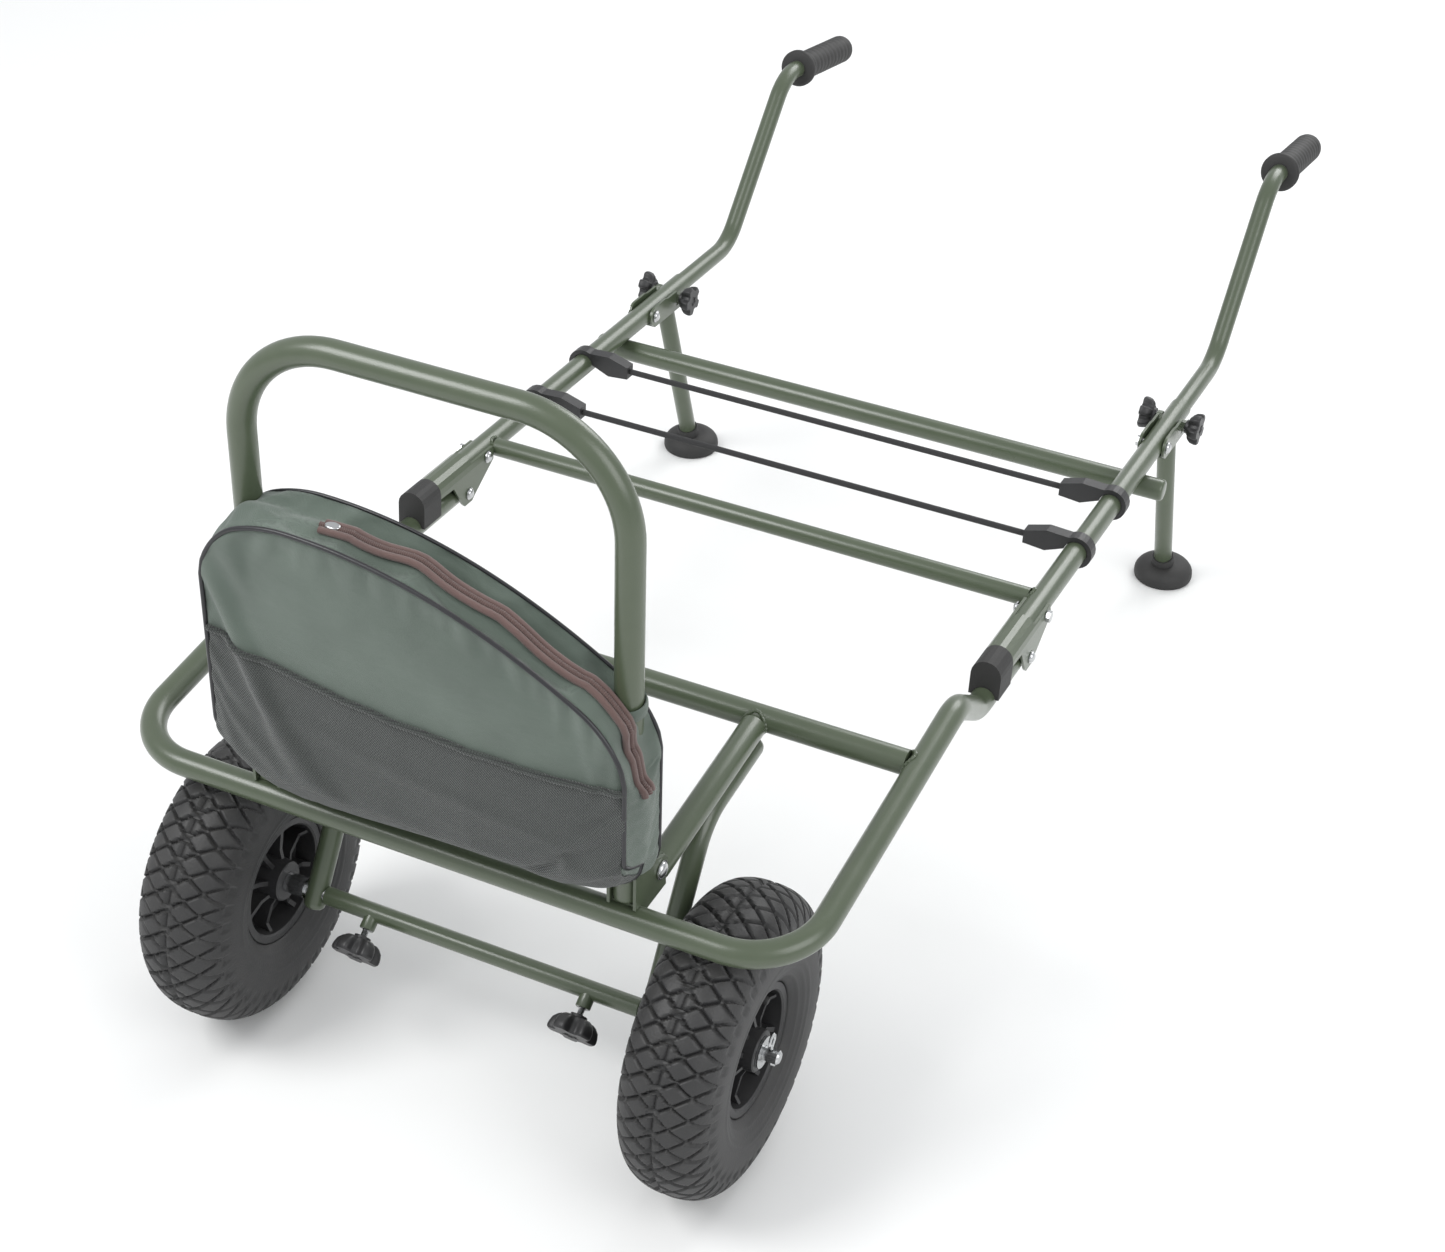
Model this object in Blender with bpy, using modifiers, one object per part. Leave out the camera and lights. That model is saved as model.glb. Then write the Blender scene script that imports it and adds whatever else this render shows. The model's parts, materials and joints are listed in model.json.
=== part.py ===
"""Two-wheeled folding angler's barrow, built as its separate pieces.

X runs across the barrow, -Y is the wheel end, +Y the handle end and Z is up. The ground is Z = 0, and the
origin lies on it under the middle of the barrow's length. Lengths along the barrow are first measured from
the hinge bolt that joins the front frame to the rear frame, and HINGE_Y then places that bolt.
"""

import math

import bmesh
import bpy
from mathutils import Matrix, Vector

# Stock and clearances
GAP = 0.0003
MAIN_D = 0.022
MAIN_WALL = 0.0012
SECOND_D = 0.019
SPREADER_D = 0.018
PLATE_T = 0.0025
BOLT_D = 0.006
SIDES = 12

# Front frame
FRONT_HALF = 0.2995
NOSE_REACH = 0.513
NOSE_Z = 0.275
NOSE_BEND = 0.060
DECK_RISE = math.radians(5.6)
CROSSBAR_REACH = 0.270
JOG_START = 0.192
JOG_END = 0.101
JOG_BEND = 0.045
RAIL_HALF = 0.158
LUG_T = 0.0185

# Hinge between the frames
HINGE_Z = 0.2343
STACK = MAIN_D + 0.0015
TUBE_FALL = math.radians(3.15)
STOP_FRONT = 0.084
STOP_LENGTH = 0.031
STOP_HALF = 0.014
STOP_DROP = 0.0215
STRAP_BACK = 0.006
SADDLE_BACK = 0.047
KEEPER_S = 0.036

# Rear frame
REAR_HALF = 0.288
SIDE_TUBE_END = 0.492
FRONT_SPREADER_S = 0.058
REAR_SPREADER_S = 0.353
REAR_SPREADER_OVERHANG = 0.029
CORD_S = (0.161, 0.265)
CORD_D = 0.006

# Legs
LEG_PIVOT_S = 0.401
LEG_BACK = 0.051
LEG_RAKE = math.radians(19.2)
LEG_BRACKET_BACK = 0.072
FOOT_R = 0.0315
FOOT_H = 0.021
FOOT_RIM_H = 0.006

# Handles
HANDLE_START_S = 0.410
HANDLE_KNEE_S = 0.611
HANDLE_RISE_ANGLE = math.radians(49.5)
HANDLE_RISE = 0.212
HANDLE_DROP_ANGLE = math.radians(7)
HANDLE_TAIL = 0.172
HANDLE_BEND = 0.055
GRIP_LENGTH = 0.138
GRIP_R = 0.016
GRIP_ROUND = 0.006
GRIP_FLANGE_R = 0.021
HANDLE_KNOB_S = 0.464

# Hoop
HOOP_PIVOT_REACH = 0.475
HOOP_PIVOT_Z = 0.296
HOOP_REACH = 0.507
HOOP_TOP_Z = 0.693
HOOP_BEND = 0.085
EAR_R = 0.012

# Wheels and axle
AXLE_REACH = 0.461
WHEEL_R = 0.130
TYRE_R = 0.041
WHEEL_X = 0.221
AXLE_D = 0.012
AXLE_TUBE_D = 0.016
AXLE_INNER_X = 0.030
AXLE_OUTER_X = 0.271
HUB_HALF = 0.034
AXLE_KNOB_X = 0.102
AXLE_KNOB_FALL = math.radians(33)
STRUT_REAR = 0.276
STRUT_BEND_REACH = 0.374
STRUT_BEND = 0.050

# Star knobs: the radius of the grip, and how far from the tube's axis it starts
KNOB_LOBES = 5
STUD_D = 0.006
CLAMP_NUT = 0.012
SMALL_KNOB_R = 0.0165
SMALL_KNOB_H = 0.012
SMALL_KNOB_FACE = 0.0205
AXLE_KNOB_R = 0.0215
AXLE_KNOB_H = 0.015
AXLE_KNOB_FACE = 0.0255

# Bag
BAG_HALF = 0.181
BAG_FRONT = 0.568
BAG_BACK = 0.492
BAG_BOTTOM_Z = 0.297
BAG_TOP_Z = 0.564
BAG_CREST_X = -0.10
BAG_LEFT_DROP = 0.030
BAG_RIGHT_DROP = 0.105
BAG_TUCK = 0.045

X, Y, Z = Vector((1, 0, 0)), Vector((0, 1, 0)), Vector((0, 0, 1))
SPOTS = {"left": -1, "right": 1}


def tail_angle():
    """How far the grip end of a handle points down, measured from level."""
    return HANDLE_DROP_ANGLE + TUBE_FALL


def handle_reach():
    """Distance from the hinge to the rearmost point of a grip."""
    knee = HANDLE_KNEE_S * math.cos(TUBE_FALL) + STACK * math.sin(TUBE_FALL)
    rise = HANDLE_RISE * math.cos(HANDLE_RISE_ANGLE - TUBE_FALL)
    tail = HANDLE_TAIL * math.cos(tail_angle()) + (GRIP_R - GRIP_ROUND) * math.sin(tail_angle())
    return knee + rise + tail


HINGE_Y = (AXLE_REACH + WHEEL_R - handle_reach()) / 2
ALONG = Vector((0, math.cos(TUBE_FALL), -math.sin(TUBE_FALL)))
ABOVE = Vector((0, math.sin(TUBE_FALL), math.cos(TUBE_FALL)))
DECK = Vector((0, math.cos(DECK_RISE), math.sin(DECK_RISE)))


def front(x, reach, z):
    """A point in front of the hinge by reach."""
    return Vector((x, HINGE_Y - reach, z))


def deck(x, reach, above=0.0):
    """A point on the sloping plane of the front frame's tubes, or above it."""
    z = NOSE_Z + (NOSE_REACH - reach) * math.tan(DECK_RISE)
    return front(x, reach, z + above)


def rear(x, s, h=STACK):
    """A point s behind the hinge along the rear side tubes' direction, and h above it."""
    return Vector((x, HINGE_Y, HINGE_Z)) + s * ALONG + h * ABOVE


def new_collection(name):
    found = bpy.data.collections.new(name)
    bpy.context.scene.collection.children.link(found)
    return found


def finish_material(name, colour, roughness, metallic=0.0):
    made = bpy.data.materials.new(name)
    made.use_nodes = True
    shader = made.node_tree.nodes["Principled BSDF"]
    shader.inputs["Base Color"].default_value = (*colour, 1)
    shader.inputs["Roughness"].default_value = roughness
    shader.inputs["Metallic"].default_value = metallic
    made.diffuse_color = (*colour, 1)
    return made


def frame_of(origin, x_axis, y_axis):
    """The matrix of a flat outline's own axes: its x, its y and the normal."""
    x_axis, y_axis = x_axis.normalized(), y_axis.normalized()
    z_axis = x_axis.cross(y_axis)
    turn = Matrix((x_axis, y_axis, z_axis)).transposed().to_4x4()
    return Matrix.Translation(origin) @ turn


def aimed(origin, direction):
    """The matrix that stands a piece turned about Z at origin, with Z along direction."""
    return Matrix.Translation(origin) @ direction.to_track_quat("Z", "Y").to_matrix().to_4x4()


def as_mesh(obj, name):
    """The evaluated shape as one closed mesh object in the same place."""
    bpy.context.view_layer.update()
    graph = bpy.context.evaluated_depsgraph_get()
    mesh = bpy.data.meshes.new_from_object(obj.evaluated_get(graph))
    work = bmesh.new()
    work.from_mesh(mesh)
    bmesh.ops.remove_doubles(work, verts=work.verts, dist=1e-6)
    bmesh.ops.recalc_face_normals(work, faces=work.faces)
    work.to_mesh(mesh)
    work.free()
    made = bpy.data.objects.new(name, mesh)
    made.matrix_world = obj.matrix_world
    bpy.data.objects.remove(obj)
    return made


def stage(obj, home, coat=None):
    """Puts a finished shape in its collection with its material and smooth shading."""
    if obj.name not in home.objects:
        home.objects.link(obj)
    if coat:
        obj.data.materials.clear()
        obj.data.materials.append(coat)
    obj.data.shade_smooth()
    obj.data.set_sharp_from_angle(angle=math.radians(35))
    return obj


def rounded(corners, radius, step=math.radians(22.5)):
    """The path through the corners with each one rounded to an arc."""
    path = [corners[0]]
    for before, corner, after in zip(corners, corners[1:], corners[2:]):
        a, b = (before - corner).normalized(), (after - corner).normalized()
        half = a.angle(b) / 2
        centre = corner + (a + b).normalized() * radius / math.sin(half)
        start = corner + a * radius / math.tan(half) - centre
        axis = start.cross(corner - centre).normalized()
        sweep = math.pi - 2 * half
        count = max(2, round(sweep / step))
        for i in range(count + 1):
            path.append(centre + Matrix.Rotation(sweep * i / count, 3, axis) @ start)
    return [*path, corners[-1]]


def domed(path, radius):
    """The path with its last point drawn in, and each point's share of the radius."""
    back = (path[-2] - path[-1]).normalized()
    tip = path[-1]
    angles = [math.radians(a) for a in (0, 35, 65, 82)]
    ring = [tip + back * radius * (1 - math.sin(a)) for a in angles]
    shares = [1.0] * (len(path) - 1) + [math.cos(a) for a in angles]
    return path[:-1] + ring, shares


def rod(name, path, diameter, shares=None, sides=SIDES):
    """A round bar or tube along a path, as a mesh with closed ends."""
    data = bpy.data.curves.new(name, "CURVE")
    data.dimensions = "3D"
    data.bevel_depth = diameter / 2
    data.bevel_resolution = (sides - 4) // 2
    data.use_fill_caps = True
    spline = data.splines.new("POLY")
    spline.points.add(len(path) - 1)
    for i, (point, place) in enumerate(zip(spline.points, path)):
        point.co = (*place, 1)
        point.radius = shares[i] if shares else 1
    obj = bpy.data.objects.new(name + "_path", data)
    bpy.context.scene.collection.objects.link(obj)
    return as_mesh(obj, name)


def plate(name, outline, thickness, matrix, bevel=0.0):
    """A flat outline of (x, y) points, extruded evenly both ways from its plane."""
    data = bpy.data.curves.new(name, "CURVE")
    data.dimensions = "2D"
    data.fill_mode = "BOTH"
    data.extrude = thickness / 2 - bevel
    data.bevel_depth = bevel
    data.bevel_resolution = 0
    data.offset = -bevel
    spline = data.splines.new("POLY")
    spline.points.add(len(outline) - 1)
    for point, (x, y) in zip(spline.points, outline):
        point.co = (x, y, 0, 1)
    spline.use_cyclic_u = True
    obj = bpy.data.objects.new(name + "_outline", data)
    obj.matrix_world = matrix
    bpy.context.scene.collection.objects.link(obj)
    return as_mesh(obj, name)


def turned(name, profile, matrix, steps=20, closed=False):
    """A profile of (radius, height) points turned about Z, from its top down its outer side."""
    work = bmesh.new()
    points = [work.verts.new((r, 0, z)) for r, z in profile]
    pairs = list(zip(points, points[1:]))
    if closed:
        pairs.append((points[-1], points[0]))
    for pair in pairs:
        work.edges.new(pair)
    mesh = bpy.data.meshes.new(name)
    work.to_mesh(mesh)
    work.free()
    obj = bpy.data.objects.new(name + "_profile", mesh)
    obj.matrix_world = matrix
    bpy.context.scene.collection.objects.link(obj)
    screw = obj.modifiers.new("turn", "SCREW")
    screw.steps = screw.render_steps = steps
    screw.use_merge_vertices = True
    screw.merge_threshold = 0.00001
    return as_mesh(obj, name)


def cylinder(name, start, end, diameter, sides=None):
    """A cutter whose flats, not its corners, lie at the diameter."""
    sides = sides or (14 if diameter < AXLE_D else 20)
    radius = diameter / 2 / math.cos(math.pi / sides)
    height = (end - start).length / 2
    profile = [(0, height), (radius, height), (radius, -height), (0, -height)]
    return turned(name, profile, aimed((start + end) / 2, end - start), sides)


def block(name, low, high, matrix=Matrix()):
    work = bmesh.new()
    bmesh.ops.create_cube(work, size=1)
    middle, size = (low + high) / 2, high - low
    fit = Matrix.Translation(middle) @ Matrix.Diagonal((*size, 1))
    bmesh.ops.transform(work, matrix=fit, verts=work.verts)
    mesh = bpy.data.meshes.new(name)
    work.to_mesh(mesh)
    work.free()
    obj = bpy.data.objects.new(name, mesh)
    obj.matrix_world = matrix
    return obj


def change(obj, other, operation, cutters):
    """A live Boolean on obj: the other shape is hidden and keeps its place."""
    stage(other, cutters)
    other.hide_render = True
    other.display_type = "WIRE"
    step = obj.modifiers.new(other.name, "BOOLEAN")
    step.operation = operation
    step.solver = "EXACT"
    step.object = other


class Shop:
    """The collections, the finishes and the pivots that every piece is built with."""

    def __init__(self):
        self.parts = new_collection("barrow")
        self.cutters = new_collection("cutters")
        self.paint = finish_material("olive paint", (0.055, 0.075, 0.043), 0.38)
        self.steel = finish_material("zinc plated steel", (0.62, 0.63, 0.64), 0.3, 1.0)
        self.plastic = finish_material("black plastic", (0.02, 0.02, 0.021), 0.45)
        self.rubber = finish_material("black rubber", (0.018, 0.018, 0.018), 0.75)
        self.cloth = finish_material("green canvas", (0.07, 0.095, 0.072), 0.85)
        self.cord = finish_material("elastic cord", (0.012, 0.012, 0.012), 0.8)
        self.count = 0

    def pivot(self, name, place, parent=None):
        """An empty on a joint's axis, which a moving group hangs from."""
        empty = bpy.data.objects.new(name, None)
        empty.empty_display_size = 0.03
        self.parts.objects.link(empty)
        empty.location = place - (parent["place"] if parent else Vector())
        if parent:
            empty.parent = parent["empty"]
        return {"empty": empty, "place": place}

    def add(self, obj, coat, pivot):
        """Finishes a piece: its origin moves to the pivot, and it hangs from the pivot's empty."""
        obj.data.transform(Matrix.Translation(-pivot["place"]) @ obj.matrix_world)
        obj.matrix_world = Matrix()
        obj.parent = pivot["empty"]
        return stage(obj, self.parts, coat)

    def cut(self, obj, shape):
        self.count += 1
        shape.name = f"cut_{self.count}_{obj.name}"
        change(obj, shape, "DIFFERENCE", self.cutters)

    def join(self, obj, shape):
        self.count += 1
        shape.name = f"join_{self.count}_{obj.name}"
        change(obj, shape, "UNION", self.cutters)

    def keep(self, obj, shape):
        self.count += 1
        shape.name = f"keep_{self.count}_{obj.name}"
        change(obj, shape, "INTERSECT", self.cutters)

    def bore(self, obj, start, end, diameter):
        self.cut(obj, cylinder("bore", start, end, diameter))


def arc(cx, cy, radius, start, end, count):
    """Points on an arc, with the angles in degrees."""
    angles = [math.radians(start + (end - start) * i / count) for i in range(count + 1)]
    return [(cx + radius * math.cos(a), cy + radius * math.sin(a)) for a in angles]


def bolt(name, start, end, head_r=0.0065):
    """A domed bolt along start to end with its nut, so the two faces it clamps lie between them."""
    grip = (end - start).length / 2
    r = BOLT_D / 2
    dome = [(head_r * math.cos(math.radians(a)), grip + 0.004 * math.sin(math.radians(a))) for a in (90, 50, 0)]
    nut = [(r, grip), (r, -grip), (0.0055, -grip), (0.0055, -grip - 0.004), (0, -grip - 0.004)]
    return turned(name, dome + nut, aimed((start + end) / 2, start - end), 12)


def across(side, half, reach):
    """The two ends of something that crosses a tube at half, reaching out evenly on both sides."""
    return side * (half + reach), side * (half - reach)


# Front frame


def front_path(side):
    """The front tube's corners from its end at the hinge to the middle of the nose bar."""
    stub_end = rear(side * REAR_HALF, MAIN_D / 2, 0)
    jog_low = rear(side * REAR_HALF, -JOG_END, 0)
    return [stub_end, jog_low, deck(side * FRONT_HALF, JOG_START), deck(side * FRONT_HALF, NOSE_REACH)]


def half_front_path(side):
    corners = front_path(side)
    nose = deck(0, NOSE_REACH)
    jog = rounded(corners[:3] + [(corners[2] + corners[3]) / 2], JOG_BEND)
    bend = rounded([(corners[2] + corners[3]) / 2, corners[3], nose], NOSE_BEND)
    path, shares = domed(list(reversed(jog)), MAIN_D / 2)
    return list(reversed(path))[:-1] + bend[1:-1], list(reversed(shares))


def build_front_frame(shop, chassis):
    right, shares = half_front_path(1)
    left, _ = half_front_path(-1)
    path = right + list(reversed(left))
    ends = shares[:4] + [1.0] * (len(path) - 8) + list(reversed(shares[:4]))
    tube = shop.add(rod("front_tube", path, MAIN_D, ends), shop.paint, chassis)
    for side in SPOTS.values():
        out, inner = across(side, REAR_HALF, 0.02)
        shop.bore(tube, rear(out, 0, 0), rear(inner, 0, 0), BOLT_D + 2 * GAP)
    build_crossbar(shop, chassis)
    for word, side in SPOTS.items():
        build_rail(shop, chassis, word, side)


def build_crossbar(shop, chassis):
    ends = [deck(side * FRONT_HALF, CROSSBAR_REACH) for side in SPOTS.values()]
    bar = shop.add(rod("front_crossbar", ends, MAIN_D), shop.paint, chassis)
    for end in ends:
        shop.bore(bar, end - 0.04 * DECK, end + 0.04 * DECK, MAIN_D + 2 * GAP)


def rail_front():
    """How far in front of the hinge an inner rail ends, just behind the hoop's pivot."""
    return HOOP_PIVOT_REACH - EAR_R - 0.003


def build_rail(shop, chassis, word, side):
    x = side * RAIL_HALF
    start, end = deck(x, rail_front()), deck(x, CROSSBAR_REACH)
    rail = shop.add(rod(f"inner_rail_{word}", [start, end], MAIN_D), shop.paint, chassis)
    shop.bore(rail, end - 0.03 * X, end + 0.03 * X, MAIN_D + 2 * GAP)
    lug = shop.add(build_lug(word, x), shop.paint, chassis)
    nose = deck(x, NOSE_REACH)
    shop.bore(lug, nose - 0.02 * X, nose + 0.02 * X, MAIN_D + 2 * GAP)
    pivot = front(x, HOOP_PIVOT_REACH, HOOP_PIVOT_Z)
    shop.bore(lug, pivot - 0.02 * X, pivot + 0.02 * X, BOLT_D + 2 * GAP)
    half = ear_offset() + PLATE_T / 2 + GAP
    ends = [pivot + half * X, pivot - half * X]
    shop.add(bolt(f"hoop_bolt_{word}", *ends, head_r=0.008), shop.steel, chassis)


def build_lug(word, x):
    """The flat lug that ties a rail to the nose bar and carries the hoop's pivot."""
    pivot_y, nose_y = -HOOP_PIVOT_REACH, -NOSE_REACH
    low = NOSE_Z - 0.006
    top = HOOP_PIVOT_Z + EAR_R - 0.002
    shelf = NOSE_Z + MAIN_D / 2 + 0.0025
    rail_z = deck(0, rail_front()).z
    back = -rail_front() - GAP / math.cos(DECK_RISE)
    lean = math.tan(DECK_RISE)
    outline = [(back - (low - rail_z) * lean, low), (back - (top - 0.004 - rail_z) * lean, top - 0.004)]
    outline += [(back - 0.006, top), (pivot_y - 0.006, top)]
    outline += [(pivot_y - 0.019, shelf), (nose_y, shelf), (nose_y, low)]
    matrix = frame_of(Vector((x, HINGE_Y, 0)), Y, Z)
    return plate(f"rail_lug_{word}", list(reversed(outline)), LUG_T, matrix)


# Hoop and bag


def build_hoop(shop, chassis):
    pivot = shop.pivot("hoop_pivot", front(0, HOOP_PIVOT_REACH, HOOP_PIVOT_Z))
    foot_z = NOSE_Z + MAIN_D / 2 + 0.004
    corners = [front(-RAIL_HALF, HOOP_REACH, foot_z), front(-RAIL_HALF, HOOP_REACH, HOOP_TOP_Z)]
    corners += [front(RAIL_HALF, HOOP_REACH, HOOP_TOP_Z), front(RAIL_HALF, HOOP_REACH, foot_z)]
    tube = shop.add(rod("hoop", rounded(corners, HOOP_BEND), MAIN_D), shop.paint, pivot)
    for x in (-RAIL_HALF, RAIL_HALF):
        place = front(x, HOOP_PIVOT_REACH, HOOP_PIVOT_Z)
        for way in (-1, 1):
            shop.join(tube, hoop_ear(place + way * ear_offset() * X))
        shop.bore(tube, place - 0.02 * X, place + 0.02 * X, BOLT_D + 2 * GAP)
    build_bag(shop, pivot)
    return pivot


def ear_offset():
    """How far the middle of each hoop foot's cheek stands from the middle of the lug between them."""
    return LUG_T / 2 + 2 * GAP + PLATE_T / 2


def hoop_ear(place):
    """One cheek of a hoop foot: round about the pivot, and running forward under the hoop's leg."""
    tip = HOOP_PIVOT_REACH - HOOP_REACH - MAIN_D / 2 + 0.001
    low = NOSE_Z + MAIN_D / 2 + 0.0008 - HOOP_PIVOT_Z
    outline = [(tip, low)] + arc(0, 0, EAR_R, math.degrees(math.asin(low / EAR_R)), 90, 6)
    outline += [(tip + 0.022, 0.022), (tip, 0.022)]
    return plate("ear", outline, PLATE_T, frame_of(place, Y, Z))


def bag_top(x):
    """The height of the bag's arched top, which sags towards its right-hand end."""
    end, drop = (-BAG_HALF, BAG_LEFT_DROP) if x < BAG_CREST_X else (BAG_HALF, BAG_RIGHT_DROP)
    share = (x - BAG_CREST_X) / (end - BAG_CREST_X)
    return BAG_TOP_Z - drop * share * share


def bag_outline():
    """The bag from the front: a rounded bottom, straight sides and an arched top."""
    low, half, corner = BAG_BOTTOM_Z, BAG_HALF, 0.04
    outline = arc(-half + corner, low + corner, corner, 180, 270, 3)
    outline += arc(half - corner, low + corner, corner, 270, 360, 3)
    shoulders = [half - 0.002 * n * n for n in range(4)]
    steps = [half * n / 10 for n in range(8, -9, -2)]
    outline += [(x, bag_top(x) - 0.010 * (1 - n / 3)) for n, x in enumerate(shoulders)]
    outline += [(x, bag_top(x)) for x in steps]
    outline += [(-x, bag_top(-x) - 0.010 * (1 - n / 3)) for n, x in reversed(list(enumerate(shoulders)))]
    return outline


def bag_tuck(x_reach):
    """The wedge taken off the bag's lower front edge, where the cloth tucks back above the nose bar."""
    front, low = -BAG_FRONT, BAG_BOTTOM_Z
    outline = [(front - 0.02, low - 0.02), (front + BAG_TUCK, low - 0.02), (front + BAG_TUCK, low)]
    outline += [(front + 0.012, low + 0.020), (front, low + BAG_TUCK), (front - 0.02, low + BAG_TUCK)]
    return plate("tuck", outline[::-1], 2 * x_reach, frame_of(Vector((0, HINGE_Y, 0)), Y, Z))


def build_bag(shop, pivot):
    middle = (BAG_FRONT + BAG_BACK) / 2
    matrix = frame_of(Vector((0, HINGE_Y - middle, 0)), X, Z)
    shape = plate("bag", bag_outline(), BAG_FRONT - BAG_BACK, matrix, bevel=0.006)
    bag = shop.add(shape, shop.cloth, pivot)
    shop.cut(bag, bag_tuck(BAG_HALF + 0.01))
    top = BAG_TOP_Z + 0.05
    for x in (-RAIL_HALF, RAIL_HALF):
        shop.bore(bag, front(x, HOOP_REACH, 0.2), front(x, HOOP_REACH, top), MAIN_D + 4 * GAP)
        ear = ear_offset() + PLATE_T / 2 + 0.002
        low = front(x - ear, HOOP_REACH + MAIN_D / 2 + 0.002, 0.2)
        high = front(x + ear, HOOP_PIVOT_REACH - 0.05, HOOP_PIVOT_Z + 0.0245)
        shop.cut(bag, block("notch", low, high))


# Undercarriage


def strut_rail_drop():
    return (MAIN_D + SECOND_D) / 2 + GAP


def axle_point(x):
    return front(x, AXLE_REACH, WHEEL_R)


def build_strut(shop, chassis, word, side):
    """A leg of the undercarriage: it runs under the inner rail, then down to the axle."""
    x = side * RAIL_HALF
    drop = -strut_rail_drop() / math.cos(DECK_RISE)
    rear_end, knee = deck(x, STRUT_REAR, drop), deck(x, STRUT_BEND_REACH, drop)
    foot = axle_point(x)
    foot += (foot - knee).normalized() * 0.015
    path, shares = domed(rounded([rear_end, knee, foot], STRUT_BEND), SECOND_D / 2)
    path, more = domed(list(reversed(path)), SECOND_D / 2)
    shares = list(reversed(shares))[: len(more) - 4] + more[-4:]
    strut = shop.add(rod(f"strut_{word}", path, SECOND_D, shares), shop.paint, chassis)
    shop.bore(strut, axle_point(x - 0.02), axle_point(x + 0.02), AXLE_D + 2 * GAP)


def knob_aim():
    """The axle's clamp knobs point forward and down."""
    return Vector((0, -math.cos(AXLE_KNOB_FALL), -math.sin(AXLE_KNOB_FALL)))


def build_undercarriage(shop, chassis):
    for word, side in SPOTS.items():
        build_strut(shop, chassis, word, side)
    half = RAIL_HALF - SECOND_D / 2 - GAP
    tube = rod("axle_tube", [axle_point(-half), axle_point(half)], AXLE_TUBE_D)
    tube = shop.add(tube, shop.paint, chassis)
    for side in SPOTS.values():
        spot = axle_point(side * AXLE_KNOB_X)
        shop.join(tube, cylinder("boss", spot, spot + 0.016 * knob_aim(), 0.013, 16))
    shop.bore(tube, axle_point(-half - 0.01), axle_point(half + 0.01), AXLE_D + 2 * GAP)
    for word, side in SPOTS.items():
        spot = axle_point(side * AXLE_KNOB_X)
        shop.bore(tube, spot, spot + 0.02 * knob_aim(), STUD_D + 2 * GAP)
        pivot = shop.pivot(f"axle_knob_axis_{word}", spot)
        tip = AXLE_D / 2 + 3 * GAP
        size = (AXLE_KNOB_R, AXLE_KNOB_H, AXLE_KNOB_FACE - tip)
        knob = star_knob(f"axle_knob_{word}", spot + tip * knob_aim(), knob_aim(), size)
        shop.add(knob, shop.plastic, pivot)
        build_wheel(shop, word, side)


def star_knob(name, tip, aim, size):
    """A lobed knob on a stud. Its size is its radius, its height and how far from the tip it starts."""
    knob_r, knob_h, reach = size
    count = KNOB_LOBES * 5
    outline = []
    for i in range(count):
        angle = 2 * math.pi * i / count
        radius = knob_r * (0.84 + 0.16 * math.cos(KNOB_LOBES * angle))
        outline.append((radius * math.cos(angle), radius * math.sin(angle)))
    side = aim.orthogonal()
    middle = tip + (reach + knob_h / 2) * aim
    head = plate(name, outline, knob_h, frame_of(middle, side, aim.cross(side)), 0.0025)
    stud = cylinder("stud", tip, tip + (reach + 0.004) * aim, STUD_D * math.cos(math.pi / 12), 12)
    collar = cylinder("collar", tip + (reach - 0.003) * aim, tip + (reach + 0.004) * aim, 0.0145, 16)
    return joined(head, [stud, collar])


def joined(obj, others):
    """The Boolean union of some shapes, made at once so that one mesh results."""
    scene = bpy.context.scene.collection
    for other in [obj, *others]:
        scene.objects.link(other)
    for other in others:
        step = obj.modifiers.new("join", "BOOLEAN")
        step.operation = "UNION"
        step.solver = "EXACT"
        step.object = other
    name = obj.name
    obj.name = name + "_base"
    made = as_mesh(obj, name)
    for other in others:
        bpy.data.objects.remove(other)
    return made


def outward(side, x):
    return aimed(axle_point(side * x), side * X)


def build_wheel(shop, word, side):
    slide = shop.pivot(f"axle_slide_{word}", axle_point(side * AXLE_INNER_X))
    build_axle(shop, slide, word, side)
    hub = shop.pivot(f"wheel_axis_{word}", axle_point(side * WHEEL_X), slide)
    matrix = outward(side, WHEEL_X)
    lip = math.radians(140)
    ring = WHEEL_R - TYRE_R
    count = 11
    angles = [lip * (1 - 2 * i / count) for i in range(count + 1)]
    section = [(ring + TYRE_R * math.cos(a), TYRE_R * math.sin(a)) for a in angles]
    shop.add(turned(f"tyre_{word}", section, matrix, 28, closed=True), shop.rubber, hub)
    seat = ring + TYRE_R * math.cos(lip) - GAP
    edge = TYRE_R * math.sin(lip) + 0.0045
    bore = AXLE_D / 2 + 2 * GAP
    web = 0.009
    half = [(bore, HUB_HALF), (0.019, HUB_HALF), (0.021, web), (seat - 0.008, web), (seat - 0.006, edge), (seat, edge)]
    rim = half + [(r, -z) for r, z in reversed(half)]
    shop.add(turned(f"rim_{word}", rim, matrix, 28, closed=True), shop.plastic, hub)


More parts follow.
